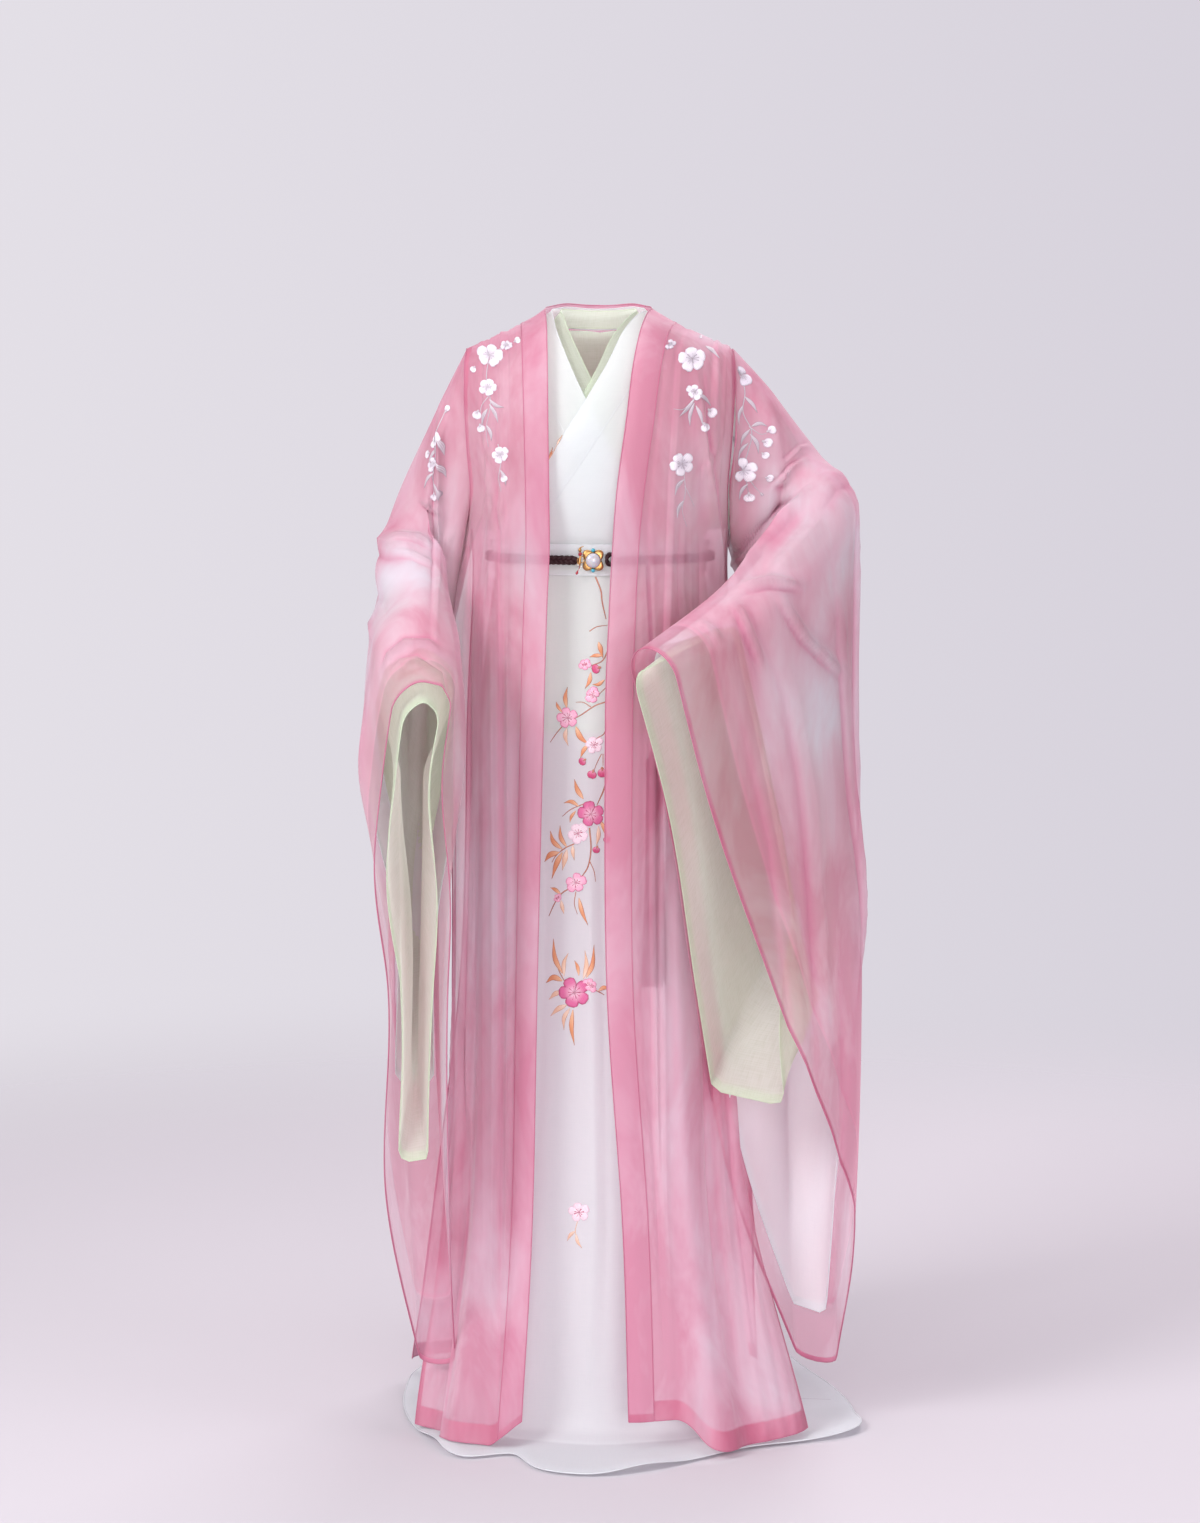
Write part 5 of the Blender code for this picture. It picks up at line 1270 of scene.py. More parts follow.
# %% Plaited belt and its knot
BUCKLE_X = -0.0090
SETTING_RADIUS, SETTING_LEAF, SETTING_STAND = 0.0110, 0.0060, 0.0027
STONE_RADIUS, STONE_FLAT = 0.0096, 0.56
BEAD_RADIUS = 0.0026
KNOT_X, KNOT_RADIUS, KNOT_TALL, KNOT_CORD = 0.0138, 0.0050, 0.0066, 0.0034
PLAIT_LENGTH, STRAND_RADIUS = 0.021, 0.0029
BELT_END_X = -0.0284  # where the belt meets the buckle
FULL_TURN = 2 * math.pi
belt_out = WAISTBAND_OFFSET + 0.0011 + BELT_THICK / 2
first = math.asin((KNOT_X + KNOT_RADIUS + KNOT_CORD + 0.0006) / (WAIST_SIDE + belt_out))
last = math.asin(BELT_END_X / (WAIST_SIDE + belt_out)) + FULL_TURN
turn = np.linspace(first, last, 640)
spine = waist_ring(WAIST_HEIGHT, belt_out, turn)
far = run_along(spine)
outwards = np.stack([np.sin(turn), -np.cos(turn), 0 * turn], axis=1)
ends = smooth_step(far / 0.006) * smooth_step((far[-1] - far) / 0.006)
strands = []
for k in range(3):
    phase = FULL_TURN * (far / PLAIT_LENGTH + k / 3)
    rise, stand = 0.0036 * np.sin(phase) * ends, 0.0021 * np.sin(2 * phase) * ends
    strands.append((spine + outwards * stand[:, None] + np.array([0, 0, 1.0]) * rise[:, None], STRAND_RADIUS))
belt = tubes("plaited_belt", strands, hard["braided silk cord"], 12, (4, 0.011, 0.16))
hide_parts("belt_cord")

front = -WAIST_FRONT - WAISTBAND_OFFSET - 0.0014
turn = np.linspace(0, FULL_TURN, 150)
knot_line = np.stack(
    [
        KNOT_X + (KNOT_RADIUS + 0.0013 * np.cos(3 * turn)) * np.cos(2 * turn),
        front - KNOT_CORD - 0.0014 + 0.0015 * np.sin(3 * turn),
        WAIST_HEIGHT + 0.0012 + (KNOT_TALL + 0.0013 * np.cos(3 * turn)) * np.sin(2 * turn),
    ],
    axis=-1,
)
knot = tubes("belt_button_knot", [(knot_line, 0.0021)], hard["braided silk cord"], 12, (3, 0.005, 0.2))
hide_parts("belt_knot")
print(belt.name, len(belt.data.polygons), knot.name, len(knot.data.polygons))

# %% [markdown]
# ## Buckle and charm
#
# The buckle is a cast gilt setting with four leaves, a milky cabochon held in a bead-set rim, and a
# turquoise bead above and below. Cabochons are ground on a flat stone, so the dome is a little flatter than
# a ball. Round forms are turned from a profile here, as they would be on a lathe.

# %% Turned forms
def turned_form(name, profile, centre, finish, edge=None, axis="front", steps=64):
    """A form turned round an axis from (radius, rise) pairs; edge(turn, radius) may shape its outline."""
    turn = np.linspace(0, FULL_TURN, steps, endpoint=False)
    shape = bmesh.new()
    rings = []
    for radius, rise in profile:
        reach = radius + 0 * turn if edge is None else edge(turn, radius)
        flat = np.stack([reach * np.cos(turn), reach * np.sin(turn)], axis=-1)
        if axis == "front":
            ring = np.stack([flat[:, 0], np.full(steps, -rise), flat[:, 1]], axis=-1)
        else:
            ring = np.stack([flat[:, 0], flat[:, 1], np.full(steps, rise)], axis=-1)
        rings.append([shape.verts.new(place) for place in ring])
    for low, high in zip(rings, rings[1:]):
        for k in range(steps):
            shape.faces.new((low[k - 1], low[k], high[k], high[k - 1]))
    for ring in (rings[0], rings[-1]):
        shape.faces.new(ring)
    bmesh.ops.recalc_face_normals(shape, faces=shape.faces)
    mesh = bpy.data.meshes.new(name)
    shape.to_mesh(mesh)
    shape.free()
    mesh.shade_smooth()
    mesh.materials.append(finish)
    obj = bpy.data.objects.new(name, mesh)
    obj.location = (centre[0], centre[1], centre[2] - NECK_HEIGHT)
    scene.collection.objects.link(obj)
    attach(obj, "root")
    return obj


def leafy(turn, radius):
    """The setting's outline: it grows into four leaves past its round rim, each with a soft point."""
    leaf = np.abs(np.sin(2 * turn)) ** 1.6
    share = smooth_step((radius - 0.0098) / 0.0012)
    return radius + share * SETTING_LEAF * leaf * (radius / SETTING_RADIUS)


def round_profile(radius, steps, flat=1.0, least=0.0004, top=1.0):
    """A ball's or cabochon's profile from its back: flat squashes it, top squashes its front half again."""
    angles = np.radians(np.linspace(-90, 90, steps))
    return [
        (max(radius * math.cos(a), least), radius * flat * (1 + math.sin(a) * (top if a > 0 else 1.0)))
        for a in angles
    ]


print("turning tools ready")

# %% Buckle
back = -WAIST_FRONT - WAISTBAND_OFFSET - SETTING_STAND
gilt_brass = hard["cast gilt brass"]
profile = [
    (0.0006, 0.0), (0.0096, 0.0), (0.0103, 0.0003), (0.0110, 0.0010), (0.0109, 0.0016), (0.0104, 0.0021),
    (0.0100, 0.0026), (0.0096, 0.0025), (0.0094, 0.0016), (0.0090, 0.0012), (0.0006, 0.0012),
]
setting = turned_form("gilt_setting", profile, (BUCKLE_X, back, WAIST_HEIGHT), gilt_brass, leafy, steps=128)
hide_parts("buckle_setting")
stone_back = back - 0.0012 - 0.0003
profile = round_profile(STONE_RADIUS, 25, STONE_FLAT, 0.0003, 0.98)
stone = turned_form("milky_cabochon", profile, (BUCKLE_X, stone_back, WAIST_HEIGHT), hard["milky stone"])
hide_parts("buckle_stone")
RIM_RADIUS, RIM_BEADS = 0.0101, 28
beads = []
for angle in np.arange(RIM_BEADS) * FULL_TURN / RIM_BEADS:  # the rim's granulation holds the stone
    x, z = BUCKLE_X + RIM_RADIUS * math.cos(angle), WAIST_HEIGHT + RIM_RADIUS * math.sin(angle)
    line = [(x, back - 0.0030 - out, z) for out in (-0.0005, -0.0002, 0.0002, 0.0005)]
    beads.append((line, (0.0002, 0.00055, 0.00055, 0.0002)))
rim = tubes("beaded_rim", beads, gilt_brass, 8)
profile = round_profile(BEAD_RADIUS, 17)
for name, way in (("top", 1), ("foot", -1)):
    rise = SETTING_RADIUS + BEAD_RADIUS - 0.0003
    centre = (BUCKLE_X, back - 0.0032 + BEAD_RADIUS, WAIST_HEIGHT + way * rise)
    bead = turned_form(f"turquoise_{name}", profile, centre, hard["turquoise"], steps=28)
    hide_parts(f"buckle_bead_{name}")

print("buckle:", setting.name, stone.name, rim.name)

# %% Charm: gilt curls, a red bead, two seed pearls and a red drop
CHARM = (  # x, rise from the waist, radius
    (-0.0215, 0.0185, 0.0004), (-0.0240, 0.0178, 0.0006), (-0.0262, 0.0158, 0.0014),
    (-0.0264, 0.0136, 0.0024), (-0.0262, 0.0112, 0.0014), (-0.0256, 0.0070, 0.0010),
    (-0.0262, 0.0020, 0.0016), (-0.0268, -0.0030, 0.0018), (-0.0264, -0.0070, 0.0008),
)
CHARM_DROP = (
    (-0.0265, -0.0074, 0.0005), (-0.0276, -0.0110, 0.0005), (-0.0292, -0.0140, 0.0008),
    (-0.0304, -0.0168, 0.0018), (-0.0310, -0.0186, 0.0008),
)
charm_y = front - 0.0058


def charm_run(table, steps):
    """A smooth run of the charm through its table, with its radius."""
    fine = along_table(table, np.linspace(0, len(table) - 1, steps))
    return np.stack([fine[:, 0], np.full(steps, charm_y), WAIST_HEIGHT + fine[:, 1]], axis=-1), fine[:, 2]


curls = [charm_run(CHARM, 60)]
angle = np.linspace(0, FULL_TURN, 40)
for x, z, wide, tall in ((-0.0234, 0.0010, 0.0022, 0.0042), (-0.0284, -0.0010, 0.0013, 0.0036)):
    heights = WAIST_HEIGHT + z + tall * np.sin(angle)
    loop = np.stack([x + wide * np.cos(angle), charm_y + 0.0004 * np.sin(2 * angle), heights], axis=-1)
    curls.append((loop, 0.0005))
gilt_charm = tubes("gilt_charm", curls, gilt_brass, 12)
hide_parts("charm_gilt")
red_centre = (-0.0260, front - 0.0099 + BEAD_RADIUS, WAIST_HEIGHT + 0.0085)
red = turned_form("red_bead", profile, red_centre, hard["dark red glass"], steps=28)
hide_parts("charm_bead")
drop = tubes("red_drop", [charm_run(CHARM_DROP, 40)], hard["dark red glass"], 14)
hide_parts("charm_drop")
pearls = []
bulge = np.radians(np.linspace(-80, 80, 9))
for x, z, radius in ((-0.0246, -0.0082, 0.0011), (-0.0287, -0.0060, 0.0010)):
    heights = WAIST_HEIGHT + z + radius * np.sin(bulge)
    line = np.stack([np.full(9, x), np.full(9, charm_y - 0.0012), heights], axis=-1)
    pearls.append((line, radius * np.cos(bulge)))
pearl = tubes("seed_pearls", pearls, hard["seed pearl"], 12)
print("charm:", gilt_charm.name, red.name, drop.name, pearl.name)

# %% [markdown]
# ## The hanging cord and its tassel
#
# A tassel is a hank of threads folded over a cord, and bound below the fold. It hangs from the belt under
# the pink front, where it shows only as a dark shape through the gauze. The cord is 6 mm thick and limp, so
# it hangs almost straight.

# %% Cord and tassel
TASSEL_X, TASSEL_DRIFT, TASSEL_Y = 0.063, 0.009, -0.1365
TASSEL_TOP, TASSEL_NECK, TASSEL_FOOT = 0.930, 0.900, 0.615
cord_top = WAIST_HEIGHT - BELT_THICK / 2 - 0.0003
belt_front = WAIST_FRONT + WAISTBAND_OFFSET + 0.0008
cord_back = -belt_front * math.cos(math.asin(TASSEL_X / 0.148)) - 0.006
tassel_middle = TASSEL_X + TASSEL_DRIFT
heights = np.linspace(cord_top, TASSEL_TOP + 0.0003, 60)
share = (heights - TASSEL_TOP) / (cord_top - TASSEL_TOP)
depths = TASSEL_Y + (cord_back - TASSEL_Y) * share**3
route = np.stack([TASSEL_X + TASSEL_DRIFT * (1 - share), depths, heights], axis=-1)
hanging = tubes("hanging_cord", [(route, 0.0030)], hard["braided silk cord"], 16, (3, 0.012, 0.16))
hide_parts("tassel_cord")
luck = np.random.default_rng(5)
threads = []
for _ in range(150):
    angle, out = luck.uniform(0, FULL_TURN), math.sqrt(luck.uniform(0.02, 1))
    x, y = 0.0110 * out * math.cos(angle), 0.0060 * out * math.sin(angle)
    foot = TASSEL_FOOT + luck.uniform(-0.004, 0.012)
    down = np.linspace(0, 1, 9)
    wave = 0.0012 * np.sin(5 * down + luck.uniform(0, 6)) * down
    line = np.stack(
        [
            tassel_middle + x * (0.9 + 0.5 * down) + wave,
            TASSEL_Y + y * (0.9 + 0.4 * down) + 0.6 * wave,
            TASSEL_NECK + 0.004 + (foot - TASSEL_NECK - 0.004) * down,
        ],
        axis=-1,
    )
    threads.append((line, luck.uniform(0.0006, 0.0010)))
tassel = tubes("tassel_threads", threads, hard["plum tassel thread"], 5)
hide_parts("tassel")
top = TASSEL_TOP - TASSEL_NECK
profile = [
    (0.0020, top), (0.0044, top - 0.0006), (0.0062, top - 0.0036), (0.0066, top - 0.0070),
    (0.0078, top - 0.0105), (0.0112, top - 0.0150), (0.0122, top - 0.0205), (0.0116, top - 0.0240),
    (0.0108, top - 0.0262), (0.0104, 0.0020), (0.0102, -0.0010), (0.0020, -0.0016),
]


def bound_threads(turn, radius):
    """The tassel head's outline: flatter from front to back, and ribbed by its threads."""
    return radius * (1 - 0.42 * np.abs(np.sin(turn)) ** 1.5) * (1 + 0.02 * np.cos(24 * turn))


head_place = (tassel_middle, TASSEL_Y, TASSEL_NECK)
head = turned_form(
    "tassel_head", profile, head_place, hard["plum tassel thread"], bound_threads, axis="up", steps=96
)
wraps = []
angle = np.linspace(0, FULL_TURN, 60)
for k in range(6):
    heights = np.full(60, TASSEL_NECK + 0.0010 * k - 0.0002)
    x, y = tassel_middle + 0.0112 * np.cos(angle), TASSEL_Y + 0.0066 * np.sin(angle)
    wraps.append((np.stack([x, y, heights], axis=-1), 0.0006))
binding = tubes("tassel_binding", wraps, hard["braided silk cord"], 8)

# %% [markdown]
# ## Embroidery
#
# The robe carries flowering sprays in satin stitch, the traditional blossom and leaf motifs that such sets
# are sold with. On the pink silk they are silver white with grey stems. On the white skirt they are pink
# and magenta with copper leaves. A stitched shape here is a patch: a line down its middle and a few widths
# across. Every patch is laid on the cloth from the front, stands a fraction of a millimetre proud, and is
# fullest in its middle, as padded satin stitch is. The layout is this robe's own.

# %% Patch tool
PALETTES = {  # heart, face and rim of a petal or leaf
    "silver": ("#CFC6D3", "#F0EBF2", "#C3BAC9"),
    "silver_deep": ("#BFB5C2", "#E2DAE6", "#ADA2B2"),
    "grey_leaf": ("#CFC6CE", "#BDB2BC", "#A79BA8"),
    "magenta": ("#F0CBDC", "#D8679B", "#A51E5C"),
    "pink": ("#FBE6EF", "#F2B3CE", "#D24C8A"),
    "faded": ("#F6EAF1", "#F1DCE7", "#E6C4D6"),
    "copper": ("#EFC19B", "#DB9265", "#AB5F40"),
    "copper_faded": ("#F1D9C6", "#E6BFA3", "#D3A081"),
    "twig": ("#C98A6E", "#BA735A", "#9C5746"),
    "red_bud": ("#E8A0BC", "#CC3F78", "#A01850"),
}
SEEN_FROM = {"front": 0.0, "left": 38.0, "right": -38.0}  # degrees towards the wearer's left
# half widths from root to tip, as shares of the full one
PETAL = np.array([0.16, 0.55, 0.95, 1.0, 0.92, 0.45])
LEAF = np.array([0.15, 0.75, 1.0, 0.8, 0.4, 0.06])
STEM = np.array([1.0, 0.9, 0.8, 0.5])
BUD, CALYX = np.array([0.10, 0.34, 0.30, 0.08]), np.array([0.10, 0.20, 0.16])


class Stitching:
    """Collects the patches that are sewn on some cloths, and lays them on when asked."""

    def __init__(self, name, cloths, seen_from, slot):
        self.name, self.cloths, self.slot = name, cloths, slot
        turn = math.radians(SEEN_FROM[seen_from])
        self.across = np.array([math.cos(turn), math.sin(turn), 0.0])
        self.into = np.array([-math.sin(turn), math.cos(turn), 0.0])
        self.patches = []

    def patch(self, spine, widths, palette, lift=0.0007, rows=9, columns=7, order=0):
        """A patch round a spine of (across, height) points; widths are half widths along it."""
        t = np.linspace(0, 1, rows)
        middle = along_table(spine, t * (len(spine) - 1))
        wide = np.interp(t, np.linspace(0, 1, len(widths)), widths)
        ahead = np.gradient(middle, axis=0)
        ahead /= np.maximum(np.linalg.norm(ahead, axis=1, keepdims=True), 1e-9)
        beside = np.stack([ahead[:, 1], -ahead[:, 0]], axis=1)
        w = np.linspace(-1, 1, columns)
        places = middle[:, None] + beside[:, None] * (w[None, :] * wide[:, None])[..., None]
        edge = np.maximum(np.abs(w)[None, :] ** 3, (t**4)[:, None])
        stops = np.array([linear(code)[:3] for code in PALETTES[palette]])
        towards = smooth_step(np.clip(t * 1.6, 0, 1))[:, None, None]
        face = stops[0] + (stops[1] - stops[0]) * towards
        colour = face + (stops[2] - face) * (smooth_step((edge - 0.45) / 0.55))[..., None]
        high = lift * np.sqrt(np.clip(1 - np.abs(w) ** 2.5, 0, 1)) + 0.00015 + 0.0002 * order
        length = run_along(places[:, columns // 2])[-1]
        self.patches.append((places, colour, np.tile(high, rows), w * wide.max(), t * length))

    def blossom(self, x, z, radius, turn, palette, squash, lean, seed):
        """Five petals round a heart with stamens; squash and lean show it from the side."""
        luck = np.random.default_rng(int(1000 * abs(x) + 7000 * z) + seed)

        def placed(a, r):
            side, rise = r * math.cos(a), r * math.sin(a) * squash
            turned_side = side * math.cos(lean) - rise * math.sin(lean)
            return x + turned_side, z + side * math.sin(lean) + rise * math.cos(lean)

        for k in range(5):
            a = math.radians(turn + 72 * k + luck.uniform(-5, 5))
            reach = radius * luck.uniform(0.92, 1.06)
            spine = [placed(a, reach * f) for f in (0.08, 0.4, 0.75, 1.0)]
            full = radius * 0.40 * luck.uniform(0.92, 1.08)
            self.patch(spine, full * PETAL, palette, 0.0010, 11, 9, k % 2)
        stamens = "grey_leaf" if "silver" in palette else "red_bud"
        for k in range(9):
            a = math.radians(40 * k + luck.uniform(-9, 9))
            spine = [placed(a, radius * f) for f in (0.02, 0.2, luck.uniform(0.36, 0.5))]
            self.patch(spine, (0.00035, 0.00035, 0.0008), stamens, 0.0007, 5, 3, 4)

    def leaf(self, spine, width, palette):
        self.patch(spine, width * LEAF, palette, 0.0008, 12, 7)

    def stem(self, spine, width, palette):
        self.patch(spine, width * STEM, palette, 0.0006, 6 * len(spine), 3)

    def bud(self, x, z, turn, size, palette):
        a = math.radians(turn)
        ahead, beside = np.array([math.cos(a), math.sin(a)]), np.array([-math.sin(a), math.cos(a)])
        place = np.array([x, z])
        for way in (-0.32, 0.32, 0.0):
            middle = place + ahead * size * 0.5 + beside * way * size
            tip = place + ahead * size + beside * way * size * 0.5
            self.patch([place, middle, tip], size * BUD, palette, 0.0009, 8, 7, 1)
        ends = [place - ahead * size * 0.25, place + ahead * size * 0.25]
        self.patch(ends, size * CALYX, "grey_leaf" if palette == "silver" else "twig", 0.0009, 5, 5, 2)

    def lay(self):
        """Lays all patches on the cloth as one stitched piece."""
        points, faces = [], []
        for piece in self.cloths:
            base = len(points)
            points += [v.co.copy() for v in piece.data.vertices]
            faces += [[base + k for k in polygon.vertices] for polygon in piece.data.polygons]
        tree = BVHTree.FromPolygons(points, faces)
        into = Vector(self.into)
        points, faces, colours, places = [], [], [], []
        missed = 0
        for spots, colour, high, u, v in self.patches:
            hits = []
            for a, z in spots.reshape(-1, 2):
                origin = self.across * a - self.into * 2.0 + np.array([0, 0, z - NECK_HEIGHT])
                hit, normal, _, _ = tree.ray_cast(Vector(origin), into)
                if hit is not None:
                    normal = normal if normal.dot(into) < 0 else -normal
                hits.append((hit, normal))
            deep = [hit.dot(into) for hit, _ in hits if hit is not None]
            middle = float(np.median(deep)) if deep else 0.0
            whole = all(hit is not None and abs(hit.dot(into) - middle) < 0.03 for hit, _ in hits)
            if not whole:  # a patch that runs off the cloth isn't sewn
                missed += 1
                continue
            new_faces, flat = grid_faces(len(points), u, v, flip=True)
            faces += new_faces
            places.append(flat)
            colours.append(colour.reshape(-1, 3))
            for (hit, normal), rise in zip(hits, high):
                points.append(hit + normal * float(rise))
        obj = new_piece(self.name, np.array(points) + (0, 0, NECK_HEIGHT), faces, places, thread)
        tint = np.concatenate(colours)
        tint = np.concatenate([tint, np.ones((len(tint), 1))], axis=1).astype(np.float32)
        obj.data.attributes.new("thread", "FLOAT_COLOR", "POINT").data.foreach_set("color", tint.ravel())
        print(self.name, len(self.patches), "patches,", missed, "off the cloth")


def by_palette(lists):
    return [(palette, *row) for palette, rows in lists.items() for row in rows]


def sew(name, cloths, seen_from, slot, stems, leaves, blossoms=None, buds=None):
    """Embroiders some cloths from lists in millimetres, which are grouped by palette."""
    spray = Stitching(name, [bpy.data.objects[cloth_name] for cloth_name in cloths], seen_from, slot)
    for lists, stitch in ((stems, spray.stem), (leaves, spray.leaf)):
        for palette, width, *spine in by_palette(lists):
            stitch(np.array(spine) / 1000, width / 1000, palette)
    for palette, x, z, radius, turn, squash, lean, seed in by_palette(blossoms or {}):
        spray.blossom(x / 1000, z / 1000, radius / 1000, turn, palette, squash, lean, seed)
    for palette, x, z, turn, size in by_palette(buds or {}):
        spray.bud(x / 1000, z / 1000, turn, size / 1000, palette)
    spray.lay()


print("palettes:", list(PALETTES))

# %% [markdown]
# Each cloth's sprays are listed in millimetres, under the palette of their thread. Places are
# (across, height above the floor), seen from the front, or from the side for the sleeves. A stem or leaf is
# a width and the points that it runs through. A blossom is a place, a radius, a turn, how far it is
# squashed and leans, and the seed of its unevenness. A bud is a place, a turn and a size.

# %% Silver sprays on the shoulders and chest
sew(
    "silver_spray_right", ("pink_body_right",), "front", "outer_silk",
    stems={
        "grey_leaf": (
            (0.7, (-116, 1462), (-130, 1456), (-146, 1440), (-150, 1412), (-144, 1384), (-150, 1350),
             (-147, 1326)),
            (0.6, (-147, 1392), (-156, 1380), (-160, 1362)),
            (0.6, (-134, 1330), (-130, 1310), (-133, 1286), (-130, 1268)),
        ),
    },
    leaves={
        "grey_leaf": (
            (2.6, (-146, 1388), (-136, 1380), (-126, 1378)),
            (2.6, (-146, 1382), (-138, 1370), (-134, 1358)),
            (2.6, (-148, 1376), (-154, 1366), (-156, 1352)),
            (2.6, (-149, 1354), (-144, 1344), (-143, 1334)),
            (2.6, (-131, 1296), (-125, 1286), (-124, 1276)),
        ),
    },
    blossoms={
        "silver": (
            (-146, 1446, 18.5, 20, 0.72, -0.25, 1), (-148, 1404, 13, 50, 0.85, 0.3, 2),
            (-131, 1316, 12.5, 10, 0.8, 0.5, 3),
        ),
        "silver_deep": ((-124, 1459, 8.5, 65, 0.7, 0.1, 4),),
    },
    buds={
        "silver": (
            (-161, 1372, 250, 10), (-158, 1354, 285, 9), (-166, 1430, 230, 7), (-112, 1464, 30, 7),
            (-128, 1288, 300, 8),
        ),
    },
)
sew(
    "silver_spray_left", ("pink_body_left",), "front", "outer_silk",
    stems={
        "grey_leaf": (
            (0.7, (86, 1464), (98, 1456), (118, 1440), (124, 1412), (126, 1384), (132, 1350), (134, 1318)),
            (0.6, (126, 1392), (110, 1376), (96, 1376)),
            (0.6, (110, 1292), (112, 1268), (108, 1244), (114, 1222)),
            (0.5, (111, 1276), (118, 1262), (124, 1248)),
        ),
    },
    leaves={
        "grey_leaf": (
            (2.8, (124, 1388), (114, 1376), (104, 1366)), (2.8, (124, 1384), (118, 1368), (118, 1354)),
            (2.8, (126, 1380), (132, 1368), (136, 1352)), (2.8, (128, 1396), (138, 1390), (146, 1380)),
            (2.8, (109, 1256), (103, 1246), (101, 1234)), (2.8, (110, 1284), (102, 1276), (98, 1264)),
            (2.8, (140, 1458), (150, 1452), (158, 1442)),
        ),
    },
    blossoms={
        "silver": (
            (121, 1441, 20, 15, 0.8, 0.2, 5), (124, 1398, 12, 40, 0.72, -0.6, 6),
            (107, 1304, 16.5, 28, 0.92, 0.3, 7),
        ),
        "silver_deep": ((92, 1460, 8, 60, 0.7, 0.4, 8),),
    },
    buds={
        "silver": ((144, 1374, 320, 11), (137, 1356, 290, 10), (84, 1468, 150, 7), (134, 1470, 80, 9)),
    },
)

# %% Silver sprays on the sleeves
sew(
    "silver_spray_sleeve_left", ("pink_sleeve_left",), "left", "outer_silk",
    stems={
        "grey_leaf": (
            (0.8, (122, 1428), (126, 1400), (120, 1372), (130, 1346), (126, 1318), (121, 1296),
             (128, 1262)),
            (0.6, (127, 1352), (140, 1342), (149, 1344)), (0.6, (123, 1286), (134, 1272), (142, 1262)),
        ),
    },
    leaves={
        "grey_leaf": (
            (2.7, (124, 1392), (133, 1382), (138, 1370)), (2.7, (121, 1380), (114, 1368), (113, 1354)),
            (2.7, (128, 1348), (120, 1338), (116, 1326)), (2.7, (128, 1342), (136, 1330), (138, 1316)),
            (2.7, (126, 1330), (117, 1320), (112, 1308)), (2.7, (130, 1352), (140, 1356), (148, 1352)),
            (2.7, (126, 1276), (119, 1266), (116, 1254)),
        ),
    },
    blossoms={
        "silver_deep": ((126, 1420, 16.5, 30, 0.62, -0.9, 9),),
        "silver": ((119, 1294, 17.5, 12, 0.95, 0.1, 10),),
    },
    buds={
        "silver": (
            (149, 1346, 20, 9), (144, 1332, 340, 10), (143, 1316, 320, 8), (128, 1262, 275, 10),
            (142, 1262, 300, 9), (146, 1284, 350, 8),
        ),
    },
)
sew(
    "silver_spray_sleeve_right", ("pink_sleeve_right",), "right", "outer_silk",
    stems={
        "grey_leaf": ((0.8, (-140, 1372), (-146, 1342), (-143, 1316), (-150, 1288), (-147, 1262)),),
    },
    leaves={
        "grey_leaf": (
            (2.8, (-146, 1340), (-138, 1328), (-136, 1314)),
            (2.8, (-145, 1324), (-154, 1314), (-158, 1300)),
            (2.8, (-146, 1306), (-138, 1296), (-135, 1284)),
            (2.8, (-149, 1290), (-158, 1282), (-162, 1270)),
            (2.8, (-148, 1276), (-141, 1266), (-140, 1254)),
        ),
    },
    blossoms={
        "silver": ((-149, 1334, 13, 25, 0.6, 0.9, 11),),
        "silver_deep": ((-151, 1302, 11, 50, 0.6, 1.1, 12),),
    },
    buds={
        "silver": ((-138, 1372, 80, 8), (-160, 1316, 200, 9), (-147, 1262, 265, 9)),
    },
)

